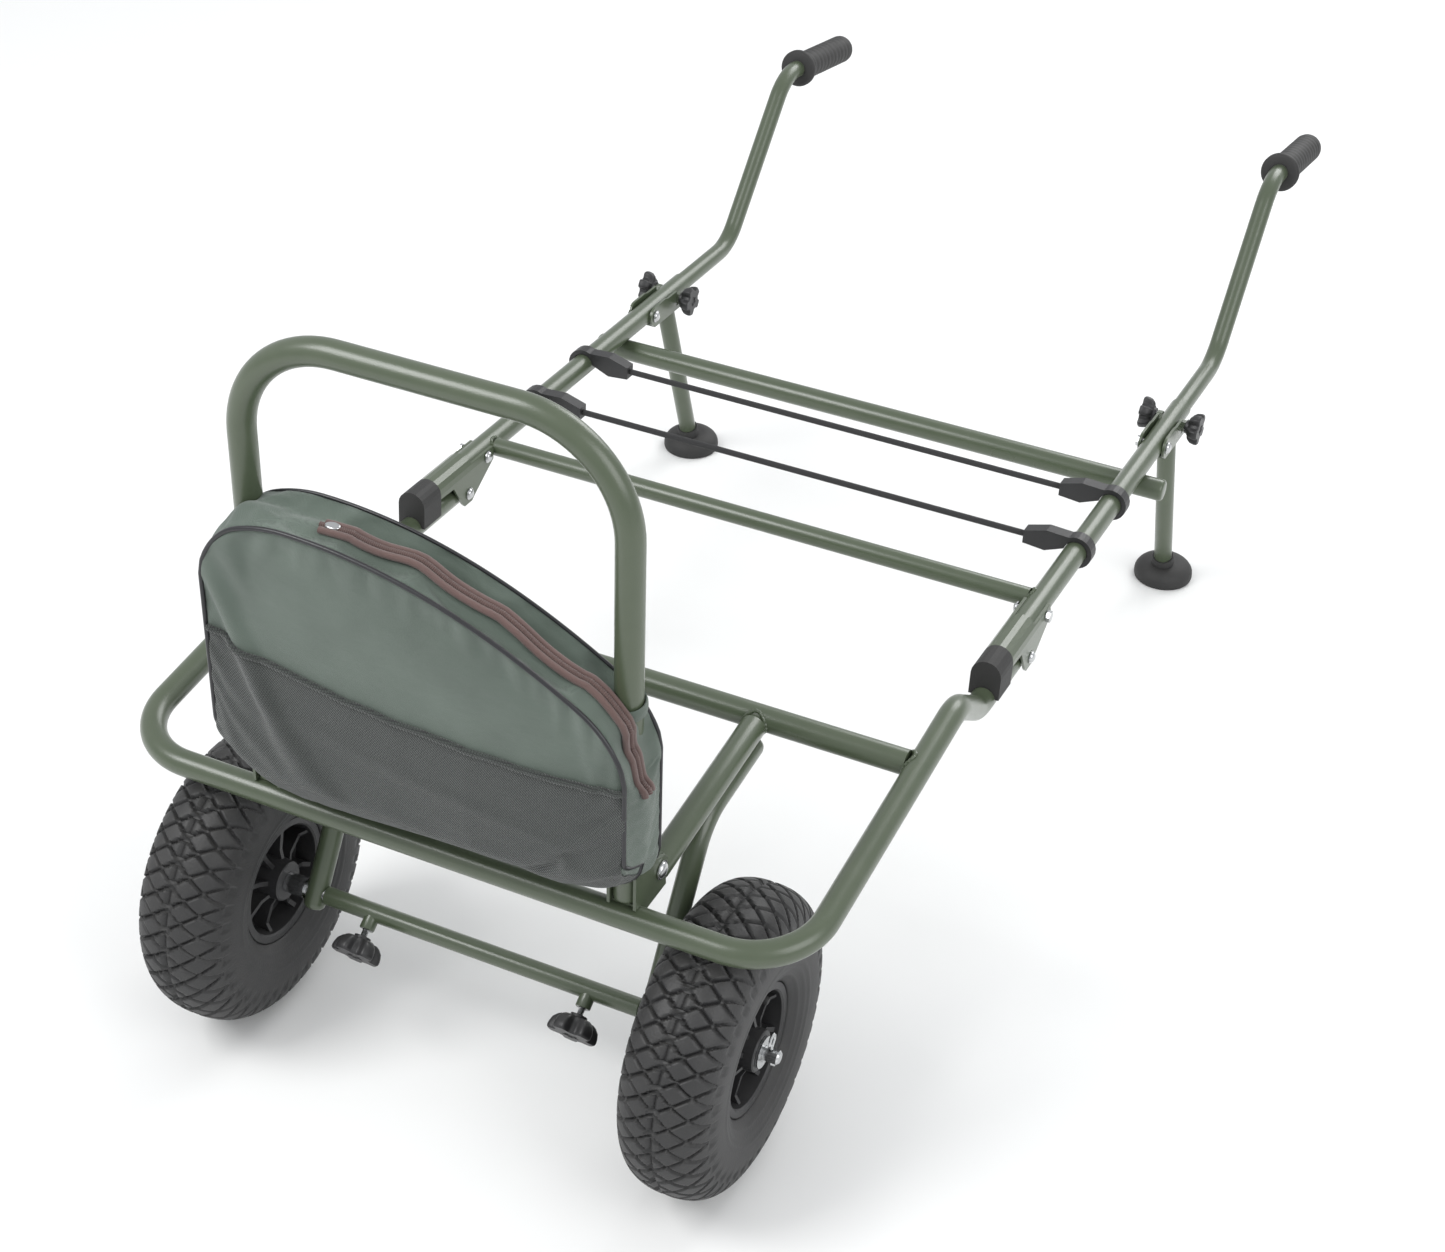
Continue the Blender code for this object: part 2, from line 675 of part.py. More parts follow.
def build_axle(shop, slide, word, side):
    """The stub axle with its shoulder, the outer washer and the split pin through its end."""
    r = AXLE_D / 2
    inner, outer = AXLE_INNER_X, AXLE_OUTER_X
    shoulder = RAIL_HALF + SECOND_D / 2 + GAP
    collar = WHEEL_X - HUB_HALF - GAP
    chamfer = 0.0015
    half = [(0, outer), (r - chamfer, outer), (r, outer - chamfer), (r, collar), (0.009, collar)]
    half += [(0.009, shoulder), (r, shoulder), (r, inner + chamfer), (r - chamfer, inner), (0, inner)]
    axle = turned(f"axle_{word}", half, outward(side, 0), 16)
    axle = shop.add(axle, shop.steel, slide)
    pin_x = WHEEL_X + HUB_HALF + 0.0085
    spot = axle_point(side * pin_x)
    shop.bore(axle, spot - 0.01 * Z, spot + 0.01 * Z, 0.0036)
    face = WHEEL_X + HUB_HALF + GAP
    bore = r + GAP
    washer = [(bore, face + 0.002), (0.0135, face + 0.002), (0.0135, face), (bore, face)]
    shop.add(turned(f"washer_{word}", washer, outward(side, 0), 24, closed=True), shop.steel, slide)
    eye = arc(0, 0.0165, 0.0048, -60, 240, 8)
    path = [spot + Vector((0, y, z)) for y, z in eye]
    path = [spot - 0.016 * Z + 0.006 * Y, spot - 0.0095 * Z, spot + 0.0095 * Z] + path
    shop.add(rod(f"split_pin_{word}", path, 0.0026, sides=8), shop.steel, slide)


# Hinge and rear frame


def cross_section(x, s):
    """The frame of a section across a rear side tube."""
    return frame_of(rear(x, s), X, ABOVE)


def build_side_tube(shop, pivot, word, side):
    x = side * REAR_HALF
    start = rear(x, -STOP_FRONT + 0.005)
    tube = shop.add(rod(f"side_tube_{word}", [start, rear(x, SIDE_TUBE_END)], MAIN_D), shop.paint, pivot)
    bore = MAIN_D - 2 * MAIN_WALL
    shop.bore(tube, rear(x, LEG_PIVOT_S - 0.02), rear(x, SIDE_TUBE_END + 0.02), bore)
    for s in (KEEPER_S, LEG_PIVOT_S):
        shop.bore(tube, rear(x - 0.02, s), rear(x + 0.02, s), BOLT_D + 2 * GAP)
    clamp = rear(x, HANDLE_KNOB_S)
    shop.join(tube, cylinder("nut", clamp - 0.0105 * X, clamp - 0.016 * X, CLAMP_NUT, 6))
    shop.bore(tube, clamp - 0.0085 * X, clamp - 0.02 * X, STUD_D + 2 * GAP)


def build_stop(shop, pivot, word, side):
    """The end block: a cap on the side tube whose hollow foot straddles the front frame's tube."""
    x = side * REAR_HALF
    spread = math.degrees(math.asin((STOP_DROP - STACK) / (MAIN_D / 2 + GAP)))
    seat = arc(0, -STACK, MAIN_D / 2 + GAP, 180 + spread, -spread, 8)
    outline = seat + [(STOP_HALF, -STOP_DROP)] + arc(0, 0, STOP_HALF, 0, 180, 10) + [(-STOP_HALF, -STOP_DROP)]
    middle = -STOP_FRONT + STOP_LENGTH / 2
    cap = plate(f"end_block_{word}", outline, STOP_LENGTH, cross_section(x, middle))
    cap = shop.add(cap, shop.rubber, pivot)
    inside = -STOP_FRONT + 0.005 - GAP
    shop.bore(cap, rear(x, inside), rear(x, 0), MAIN_D + 2 * GAP)


def saddle_profile():
    """The saddle seen from its side: a strap over the tube, and ears that slope to the hinge bolt."""
    front, top = -STOP_FRONT + STOP_LENGTH + GAP, 0.02
    low = -STACK - 0.0105
    strap = [(front, top), (front, -0.004), (front + 0.024, -0.005)]
    ear = [(-0.012, low + 0.004), (-0.008, low), (0.006, low), (0.011, low + 0.004)]
    tail = [(SADDLE_BACK, -0.007), (SADDLE_BACK, 0.006), (STRAP_BACK, 0.006), (STRAP_BACK, top)]
    return strap + ear + tail


def build_saddle(shop, pivot, word, side):
    """The strap over the side tube, with two ears down to the hinge bolt."""
    x = side * REAR_HALF
    inner = MAIN_D / 2 + GAP
    outer = inner + PLATE_T
    low = -STACK - 0.02
    outline = [(-inner, low)] + arc(0, 0, inner, 180, 0, 10) + [(inner, low), (outer, low)]
    outline += arc(0, 0, outer, 0, 180, 8) + [(-outer, low)]
    strap = plate(f"saddle_{word}", outline, 0.2, cross_section(x, 0))
    strap = shop.add(strap, shop.paint, pivot)
    shop.keep(strap, plate("side", saddle_profile(), 0.05, frame_of(rear(x, 0), ALONG, ABOVE)))
    bores = ((0, 0), (KEEPER_S, STACK))
    for s, h in bores:
        shop.bore(strap, rear(x - 0.02, s, h), rear(x + 0.02, s, h), BOLT_D + 2 * GAP)
    reach = outer + GAP
    heads = (("hinge_bolt", 0, 0, 1), ("keeper_bolt", KEEPER_S, STACK, -side))
    for name, s, h, way in heads:
        ends = rear(x + way * reach, s, h), rear(x - way * reach, s, h)
        shop.add(bolt(f"{name}_{word}", *ends, head_r=0.006), shop.steel, pivot)


def build_spreaders(shop, pivot):
    ends = [rear(side * REAR_HALF, FRONT_SPREADER_S) for side in SPOTS.values()]
    bar = shop.add(rod("front_spreader", ends, SPREADER_D), shop.paint, pivot)
    for end in ends:
        shop.bore(bar, end - 0.03 * ALONG, end + 0.03 * ALONG, MAIN_D + 2 * GAP)
    reach = REAR_HALF + REAR_SPREADER_OVERHANG
    h = STACK - MAIN_D - GAP
    ends = [rear(side * reach, REAR_SPREADER_S, h) for side in SPOTS.values()]
    shop.add(rod("rear_spreader", ends, MAIN_D), shop.paint, pivot)


def hook_outline(side):
    """A hook from inside the tube, over its top and under its outer side. x runs outward."""
    inner, outer = MAIN_D / 2 + 2 * GAP, MAIN_D / 2 + 0.0052
    body = [(-0.052, -0.004), (-0.052, 0.009), (-0.030, 0.0155)]
    over = arc(0, 0, outer, 118, -70, 12)
    under = arc(0, 0, inner, -70, 172, 14)
    outline = body + over + under + [(-0.030, -0.006)]
    return [(side * x, y) for x, y in outline][:: -side]


def build_cords(shop, pivot):
    names = ("front", "rear")
    for name, s in zip(names, CORD_S):
        for word, side in SPOTS.items():
            matrix = cross_section(side * REAR_HALF, s)
            hook = plate(f"hook_{name}_{word}", hook_outline(side), 0.013, matrix)
            shop.add(hook, shop.plastic, pivot)
        reach = REAR_HALF - 0.052 - GAP
        ends = [rear(x, s, STACK + 0.0025) for x in (-reach, 0, reach)]
        shop.add(rod(f"elastic_cord_{name}", ends, CORD_D, sides=8), shop.cord, pivot)


# Legs


def build_leg(shop, rear_pivot, word, side):
    x = side * REAR_HALF
    hub = rear(x, LEG_PIVOT_S)
    pivot = shop.pivot(f"leg_pivot_{word}", hub, rear_pivot)
    axis_top = hub + LEG_BACK * ALONG - (MAIN_D / 2 + 0.002) * ABOVE
    rake = Vector((0, math.sin(LEG_RAKE), -math.cos(LEG_RAKE)))
    floor_point = axis_top + rake * (axis_top.z / math.cos(LEG_RAKE))
    end = floor_point - rake * (0.006 / math.cos(LEG_RAKE))
    leg = shop.add(rod(f"leg_{word}", [axis_top, end], SECOND_D), shop.paint, pivot)
    shop.join(leg, leg_bracket(x))
    knob_s = LEG_PIVOT_S + LEG_BACK + 0.004
    ear = MAIN_D / 2 + GAP + PLATE_T
    knob_spot = rear(x, knob_s)
    shop.join(leg, cylinder("nut", knob_spot + (ear - 0.001) * X, knob_spot + (ear + 0.003) * X, CLAMP_NUT, 6))
    shop.bore(leg, rear(x - 0.02, LEG_PIVOT_S), rear(x + 0.02, LEG_PIVOT_S), BOLT_D + 2 * GAP)
    shop.bore(leg, rear(x, LEG_PIVOT_S - 0.05), rear(x, LEG_PIVOT_S + 0.1), MAIN_D + 2 * GAP)
    shop.bore(leg, knob_spot + 0.008 * X, knob_spot + 0.025 * X, STUD_D + 2 * GAP)
    build_foot(shop, pivot, word, floor_point, rake)
    reach = ear + GAP
    ends = rear(x + reach, LEG_PIVOT_S), rear(x - reach, LEG_PIVOT_S)
    shop.add(bolt(f"leg_bolt_{word}", *ends), shop.steel, pivot)
    knob_pivot = shop.pivot(f"leg_knob_axis_{word}", knob_spot, pivot)
    tip = knob_spot + (MAIN_D / 2 + GAP) * X
    size = (SMALL_KNOB_R, SMALL_KNOB_H, SMALL_KNOB_FACE - (MAIN_D / 2 + GAP))
    knob = star_knob(f"leg_knob_{word}", tip, X, size)
    shop.add(knob, shop.plastic, knob_pivot)


def leg_bracket(x):
    """A channel round the side tube from below: two ears to the pivot, and a web behind them."""
    inner = MAIN_D / 2 + GAP
    outer = inner + PLATE_T
    top = 0.009
    corner = outer - 0.003
    outline = [(-inner, top), (-outer, top), (-outer, -corner)] + arc(-corner, -corner, 0.003, 180, 270, 2)
    outline += arc(corner, -corner, 0.003, 270, 360, 2) + [(outer, top), (inner, top)]
    outline += arc(0, 0, inner, 0, -180, 10)
    length = LEG_BRACKET_BACK + 0.011
    middle = LEG_PIVOT_S + (LEG_BRACKET_BACK - 0.011) / 2
    channel = plate("channel", outline[::-1], length, cross_section(x, middle))
    side_view = frame_of(rear(x, LEG_PIVOT_S), ALONG, ABOVE)
    flank = MAIN_D / 2 + 2 * GAP
    open_end = block("open", Vector((-0.02, -0.03, -flank)), Vector((0.026, 0.03, flank)), side_view)
    under = block("under", Vector((-0.02, -0.03, -0.03)), Vector((0.0, -0.0095, 0.03)), side_view)
    clear = HANDLE_KNOB_S - LEG_PIVOT_S - CLAMP_NUT / 2 - 0.003
    clamp = block("clamp", Vector((clear, -0.009, -0.03)), Vector((0.1, 0.03, -0.008)), side_view)
    return trimmed(channel, [open_end, under, clamp])


def trimmed(obj, others):
    """The Boolean difference of some shapes, made at once so that one mesh results."""
    scene = bpy.context.scene.collection
    for other in [obj, *others]:
        scene.objects.link(other)
    for other in others:
        step = obj.modifiers.new("trim", "BOOLEAN")
        step.operation = "DIFFERENCE"
        step.solver = "EXACT"
        step.object = other
    name = obj.name
    obj.name = name + "_base"
    made = as_mesh(obj, name)
    for other in others:
        bpy.data.objects.remove(other)
    return made


def build_foot(shop, pivot, word, floor_point, rake):
    """A round rubber foot, flat on the ground, with a socket along the leg."""
    rim = FOOT_RIM_H
    pad = [(0, FOOT_H), (0.015, FOOT_H), (FOOT_R - 0.004, rim + 0.004), (FOOT_R, rim), (FOOT_R - 0.001, 0), (0, 0)]
    foot = turned(f"foot_{word}", pad, Matrix.Translation(floor_point), 28)
    socket_top = floor_point - rake * 0.034
    socket = cylinder("socket", floor_point - rake * 0.006, socket_top, SECOND_D + 0.005, 16)
    foot = shop.add(joined(foot, [socket]), shop.rubber, pivot)
    end = floor_point - rake * (0.006 / math.cos(LEG_RAKE) - GAP)
    shop.bore(foot, end, floor_point - rake * 0.06, SECOND_D + 2 * GAP)


# Handles


def handle_corners(x):
    start, knee = rear(x, HANDLE_START_S), rear(x, HANDLE_KNEE_S)
    rise = math.cos(HANDLE_RISE_ANGLE) * ALONG + math.sin(HANDLE_RISE_ANGLE) * ABOVE
    shoulder = knee + HANDLE_RISE * rise
    tail = math.cos(HANDLE_DROP_ANGLE) * ALONG - math.sin(HANDLE_DROP_ANGLE) * ABOVE
    return start, knee, shoulder, shoulder + HANDLE_TAIL * tail, tail


def build_handle(shop, rear_pivot, word, side):
    x = side * REAR_HALF
    start, knee, shoulder, tip, tail = handle_corners(x)
    pivot = shop.pivot(f"handle_slide_{word}", start, rear_pivot)
    end = tip - 0.006 * tail
    handle = rod(f"handle_{word}", rounded([start, knee, shoulder, end], HANDLE_BEND), SECOND_D)
    shop.add(handle, shop.paint, pivot)
    build_grip(shop, pivot, word, tip, tail)
    spot = rear(x, HANDLE_KNOB_S)
    knob_pivot = shop.pivot(f"handle_knob_axis_{word}", spot, rear_pivot)
    tip = SECOND_D / 2 + GAP
    size = (SMALL_KNOB_R, SMALL_KNOB_H, SMALL_KNOB_FACE - tip)
    knob = star_knob(f"handle_knob_{word}", spot - tip * X, -X, size)
    shop.add(knob, shop.plastic, knob_pivot)


def build_grip(shop, pivot, word, tip, tail):
    """A rubber grip with a guard flange, its closed end rounded."""
    r, flange = GRIP_R, GRIP_FLANGE_R
    end = [(0, 0), (r - GRIP_ROUND, 0), (r - 0.0015, -0.0025), (r, -0.008)]
    guard = [(r, 0.012 - GRIP_LENGTH), (flange, 0.008 - GRIP_LENGTH), (flange, 0.003 - GRIP_LENGTH)]
    neck = [(flange - 0.003, -GRIP_LENGTH), (0, -GRIP_LENGTH)]
    grip = shop.add(turned(f"grip_{word}", end + guard + neck, aimed(tip, tail), 20), shop.rubber, pivot)
    shop.bore(grip, tip - 0.0055 * tail, tip - (GRIP_LENGTH + 0.02) * tail, SECOND_D + 2 * GAP)


def build_rear(shop):
    pivot = shop.pivot("rear_hinge", rear(0, 0, 0))
    for word, side in SPOTS.items():
        build_side_tube(shop, pivot, word, side)
        build_stop(shop, pivot, word, side)
        build_saddle(shop, pivot, word, side)
    build_spreaders(shop, pivot)
    build_cords(shop, pivot)
    for word, side in SPOTS.items():
        build_leg(shop, pivot, word, side)
        build_handle(shop, pivot, word, side)


def report(shop):
    """Prints the pivots, which are what the joints turn or slide about."""
    bpy.context.view_layer.update()
    for obj in shop.parts.objects:
        if obj.type == "EMPTY":
            print("pivot", obj.name, [round(v, 5) for v in obj.matrix_world.translation])


def main():
    for obj in list(bpy.data.objects):
        bpy.data.objects.remove(obj)
    shop = Shop()
    chassis = shop.pivot("chassis", Vector())
    build_front_frame(shop, chassis)
    build_undercarriage(shop, chassis)
    build_hoop(shop, chassis)
    build_rear(shop)
    report(shop)


main()
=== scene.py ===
# %% [markdown]
# A folding two-wheeled barrow of olive tube, with a cloth bag on a hoop over its nose.
# The working model already holds every piece at its true place, but its round pieces have few sides.
# This lesson gives each piece its fine surface and its finish, and hangs it on the body it moves with.

import json
import math

import bmesh
import bpy
import numpy as np
from mathutils import Matrix, Vector

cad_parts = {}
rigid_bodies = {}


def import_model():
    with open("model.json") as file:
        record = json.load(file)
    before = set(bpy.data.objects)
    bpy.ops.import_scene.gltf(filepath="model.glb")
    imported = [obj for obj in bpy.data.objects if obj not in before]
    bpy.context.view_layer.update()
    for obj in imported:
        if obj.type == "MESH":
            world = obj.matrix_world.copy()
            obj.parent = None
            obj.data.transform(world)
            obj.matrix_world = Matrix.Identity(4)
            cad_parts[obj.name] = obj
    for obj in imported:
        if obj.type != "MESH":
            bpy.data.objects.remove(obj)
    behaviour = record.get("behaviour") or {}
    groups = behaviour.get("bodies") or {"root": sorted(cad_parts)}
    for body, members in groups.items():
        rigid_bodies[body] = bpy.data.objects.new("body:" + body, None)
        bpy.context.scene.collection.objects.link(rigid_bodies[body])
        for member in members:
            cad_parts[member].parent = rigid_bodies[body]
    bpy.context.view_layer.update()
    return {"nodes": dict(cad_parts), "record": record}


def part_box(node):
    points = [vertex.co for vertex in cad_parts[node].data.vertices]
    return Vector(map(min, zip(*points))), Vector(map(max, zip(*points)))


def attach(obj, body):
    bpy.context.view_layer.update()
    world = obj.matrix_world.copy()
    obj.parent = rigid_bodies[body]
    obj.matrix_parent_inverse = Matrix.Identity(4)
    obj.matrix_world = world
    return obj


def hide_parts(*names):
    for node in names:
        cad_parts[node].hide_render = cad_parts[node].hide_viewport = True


for thing in list(bpy.data.objects):
    bpy.data.objects.remove(thing)
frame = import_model()
joints = {joint["name"]: joint for joint in frame["record"]["behaviour"]["joints"]}
SIDES = {"left": -1, "right": 1}

# %% [markdown]
# The eye stands in front of the barrow's right corner and looks down at about thirty-five degrees.
# Its direction is built from two angles, and a small roll tips the picture as a hand-held eye does.

# %% Camera
EYE = Vector((0.822, -1.98789, 1.5842))
TURN, DIP, ROLL = math.radians(24.70), math.radians(35.39), math.radians(1.81)


def make_camera():
    """Forward comes from the turn and the dip, right is forward cross up, and the roll mixes right and up."""
    ahead = Vector((-math.sin(TURN) * math.cos(DIP), math.cos(TURN) * math.cos(DIP), -math.sin(DIP)))
    right = ahead.cross(Vector((0, 0, 1))).normalized()
    up = right.cross(ahead)
    right, up = (
        math.cos(ROLL) * right + math.sin(ROLL) * up,
        math.cos(ROLL) * up - math.sin(ROLL) * right,
    )
    lens = bpy.data.cameras.new("eye")
    lens.lens, lens.sensor_width = 64.42, 36.0
    lens.shift_x, lens.shift_y = 0.0095, 0.0007
    camera = bpy.data.objects.new("eye", lens)
    turn = Matrix((right, up, -ahead)).transposed().to_4x4()
    camera.matrix_world = Matrix.Translation(EYE) @ turn
    bpy.context.scene.collection.objects.link(camera)
    bpy.context.scene.camera = camera


make_camera()

# %% [markdown]
# Most surfaces here are a grid of points: rows along the piece and columns round it.
# One helper joins the grid's points to faces, and another welds, turns the faces outwards and names the piece.

# %% Surface helpers
SCENE = bpy.context.scene.collection


def unit(vectors):
    """Each vector divided by its own length."""
    vectors = np.asarray(vectors, float)
    return vectors / np.linalg.norm(vectors, axis=-1, keepdims=True)


def grid_faces(rows, cols, wrap_rows=False, wrap_cols=True):
    """Four-sided faces between each row and the next, and each column and the next."""
    r = np.arange(rows if wrap_rows else rows - 1)[:, None]
    c = np.arange(cols if wrap_cols else cols - 1)[None, :]
    below, beside = (r + 1) % rows, (c + 1) % cols
    corners = [r * cols + c, r * cols + beside, below * cols + beside, below * cols + c]
    return np.stack(corners, -1).reshape(-1, 4)


def shell(points, wrap_rows=False):
    """A closed skin from rings of points. Open ends are closed by one flat face each."""
    rows, cols = points.shape[:2]
    faces = grid_faces(rows, cols, wrap_rows).tolist()
    if not wrap_rows:
        faces += [list(range(cols)), list(range((rows - 1) * cols, rows * cols))]
    return points.reshape(-1, 3), faces


def build(name, shells, coat, body, nodes=(), crease=40, bevel=0.0):
    """One piece from closed shells, welded, with its faces outward, riding on its body."""
    work = bmesh.new()
    for points, faces in shells:
        part = bpy.data.meshes.new("part")
        part.from_pydata(points.tolist(), [], faces)
        work.from_mesh(part)
        bpy.data.meshes.remove(part)
    bmesh.ops.remove_doubles(work, verts=work.verts, dist=2e-6)
    bmesh.ops.dissolve_degenerate(work, edges=work.edges, dist=1e-7)
    bmesh.ops.recalc_face_normals(work, faces=work.faces)
    mesh = bpy.data.meshes.new(name)
    work.to_mesh(mesh)
    work.free()
    mesh.materials.append(coat)
    mesh.shade_smooth()
    mesh.set_sharp_from_angle(angle=math.radians(crease))
    piece = bpy.data.objects.new(name, mesh)
    SCENE.objects.link(piece)
    if bevel:
        edge = piece.modifiers.new("soft edge", "BEVEL")
        edge.width, edge.segments, edge.limit_method = bevel, 2, "ANGLE"
        edge.angle_limit = math.radians(35)
    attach(piece, body)
    if nodes:
        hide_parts(*nodes)
    return piece


# %% Paths and tubes
def bend(corners, radius, step=4):
    """The corners joined by straight runs and arcs: each arc turns the start arm about its centre."""
    corners = [np.asarray(c, float) for c in corners]
    route = [corners[0]]
    for before, corner, after in zip(corners, corners[1:], corners[2:]):
        a, b = unit(before - corner), unit(after - corner)
        half = math.acos(np.clip(a @ b, -1, 1)) / 2
        centre = corner + unit(a + b) * radius / math.sin(half)
        arm = corner + a * radius / math.tan(half) - centre
        other = corner + b * radius / math.tan(half) - centre
        side = unit(other - arm * (arm @ other) / radius**2) * radius
        sweep = np.linspace(0, math.pi - 2 * half, max(4, round((180 - math.degrees(2 * half)) / step)))
        route += list(centre + np.cos(sweep)[:, None] * arm + np.sin(sweep)[:, None] * side)
    return np.array(route + [corners[-1]])


def sweep(path, radii, up, sides=32):
    """A ring at every point of the path: side is the direction cross up, and lift is side cross direction."""
    path = np.asarray(path, float)
    ahead = unit(np.gradient(path, axis=0))
    side = unit(np.cross(ahead, np.asarray(up, float)))
    lift = np.cross(side, ahead)
    angle = np.linspace(0, 2 * math.pi, sides, endpoint=False)[None, :, None]
    spread = np.cos(angle) * side[:, None] + np.sin(angle) * lift[:, None]
    radii = np.broadcast_to(np.asarray(radii, float), (len(path),))
    return path[:, None] + radii[:, None, None] * spread


def tube(path, diameter, up, lip=0.0008, sides=32):
    """A round bar along the path. At each end the radius falls over a quarter circle of radius lip."""
    path = np.asarray(path, float)
    turn = np.radians([0, 30, 60, 90])
    share = diameter / 2 - lip + lip * np.sin(turn)
    depth = (lip * (1 - np.cos(turn)))[:, None]
    head = path[0] + unit(path[1] - path[0]) * depth
    tail = path[-1] + unit(path[-2] - path[-1]) * depth[::-1]
    route = np.vstack([head, path[1:-1], tail])
    radii = np.concatenate([share, np.full(len(path) - 2, diameter / 2), share[::-1]])
    return shell(sweep(route, radii, up, sides))


def turned(profile, origin, axis, steps=48, lobe=None):
    """A profile of (radius, height) rows turned about the axis. lobe gives each angle's share of the radius."""
    profile = np.asarray(profile, float)
    axis = unit(axis)
    first = unit(np.cross(axis, (0.0, 0.0, 1.0) if abs(axis[2]) < 0.9 else (1.0, 0.0, 0.0)))
    second = np.cross(axis, first)
    angle = np.linspace(0, 2 * math.pi, steps, endpoint=False)
    share = np.ones(steps) if lobe is None else lobe(angle)
    spread = np.cos(angle)[:, None] * first + np.sin(angle)[:, None] * second
    reach = profile[:, 0, None, None] * (share[:, None] * spread)[None]
    return shell(np.asarray(origin, float) + profile[:, 1, None, None] * axis + reach)


def prism(outline, depth, origin, x_axis, y_axis):
    """A flat outline carried depth / 2 both ways along x_axis cross y_axis."""
    outline = np.asarray(outline, float)
    x_axis, y_axis = unit(x_axis), unit(y_axis)
    flat = np.asarray(origin, float) + outline[:, :1] * x_axis + outline[:, 1:] * y_axis
    normal = np.cross(x_axis, y_axis) * depth / 2
    return shell(np.stack([flat - normal, flat + normal]))


def arc(cx, cy, radius, start, end, count):
    """Points on an arc, with the angles in degrees."""
    angle = np.radians(np.linspace(start, end, count + 1))
    return np.stack([cx + radius * np.cos(angle), cy + radius * np.sin(angle)], 1)


# %% [markdown]
# The paint is a satin powder coat with a fine skin of bumps. Dust lies where a surface looks up, and the tone
# drifts a little from place to place. Every plain finish shares one group of nodes that works this out.

# %% Finishes
def socket(group, name, kind, way):
    return group.interface.new_socket(name=name, in_out=way, socket_type="NodeSocket" + kind)


def new_group(name, takes, gives):
    """An empty node group with its inputs and outputs: each is a name and a kind."""
    group = bpy.data.node_groups.new(name, "ShaderNodeTree")
    for title, kind in takes:
        socket(group, title, kind, "INPUT")
    for title, kind in gives:
        socket(group, title, kind, "OUTPUT")
    start, end = group.nodes.new("NodeGroupInput"), group.nodes.new("NodeGroupOutput")
    return group, start, end


def node(tree, kind, settings=(), values=()):
    made = tree.nodes.new("ShaderNode" + kind)
    for name, value in dict(settings).items():
        setattr(made, name, value)
    for name, value in dict(values).items():
        made.inputs[name].default_value = value
    return made


def maths(tree, operation, first, second):
    """One sum on two values, where each is a number or an output."""
    made = node(tree, "Math", {"operation": operation})
    for place, value in zip(made.inputs, (first, second)):
        if isinstance(value, (int, float)):
            place.default_value = value
        else:
            tree.links.new(value, place)
    return made.outputs[0]


def mixed(tree, share, first, second):
    """A colour between two, by a share."""
    made = node(tree, "Mix", {"data_type": "RGBA"})
    for place, value in ((made.inputs[0], share), (made.inputs[6], first), (made.inputs[7], second)):
        tree.links.new(value, place)
    return made.outputs[2]


def noise(tree, scale, detail=3.0, stretch=None):
    """Cloudy noise on the piece's own coordinates, which may be stretched."""
    place = node(tree, "TexCoord").outputs["Object"]
    if stretch:
        mapping = node(tree, "Mapping", values={"Scale": stretch})
        tree.links.new(place, mapping.inputs["Vector"])
        place = mapping.outputs["Vector"]
    made = node(tree, "TexNoise", values={"Detail": detail})
    tree.links.new(place, made.inputs["Vector"])
    if isinstance(scale, (int, float)):
        made.inputs["Scale"].default_value = scale
    else:
        tree.links.new(scale, made.inputs["Scale"])
    return made.outputs["Fac"]


def surface_group():
    """Colour = base drifting to a worn tone, then to dust by cloudy noise times how far a face looks up."""
    takes = [("Base", "Color"), ("Worn", "Color"), ("Dust", "Color"), ("Dust Amount", "Float")]
    takes += [("Roughness", "Float"), ("Spread", "Float"), ("Grain", "Float")]
    gives = [("Color", "Color"), ("Roughness", "Float"), ("Height", "Float")]
    tree, start, end = new_group("drift and dust", takes, gives)
    cloud, fine = noise(tree, 9.0, 4.0), noise(tree, start.outputs["Grain"], 2.0)
    smear = noise(tree, 60.0, 5.0)
    drift = mixed(tree, maths(tree, "MULTIPLY", cloud, smear), start.outputs["Base"], start.outputs["Worn"])
    look = node(tree, "NewGeometry").outputs["Normal"]
    split = node(tree, "SeparateXYZ")
    tree.links.new(look, split.inputs[0])
    upward = maths(tree, "MAXIMUM", split.outputs["Z"], 0.15)
    dusty = maths(tree, "MULTIPLY", maths(tree, "MULTIPLY", upward, smear), start.outputs["Dust Amount"])
    tree.links.new(mixed(tree, dusty, drift, start.outputs["Dust"]), end.inputs["Color"])
    swing = maths(tree, "MULTIPLY", maths(tree, "SUBTRACT", cloud, 0.5), start.outputs["Spread"])
    rough = maths(tree, "ADD", maths(tree, "ADD", swing, start.outputs["Roughness"]), dusty)
    tree.links.new(rough, end.inputs["Roughness"])
    tree.links.new(fine, end.inputs["Height"])
    return tree


SURFACE = surface_group()


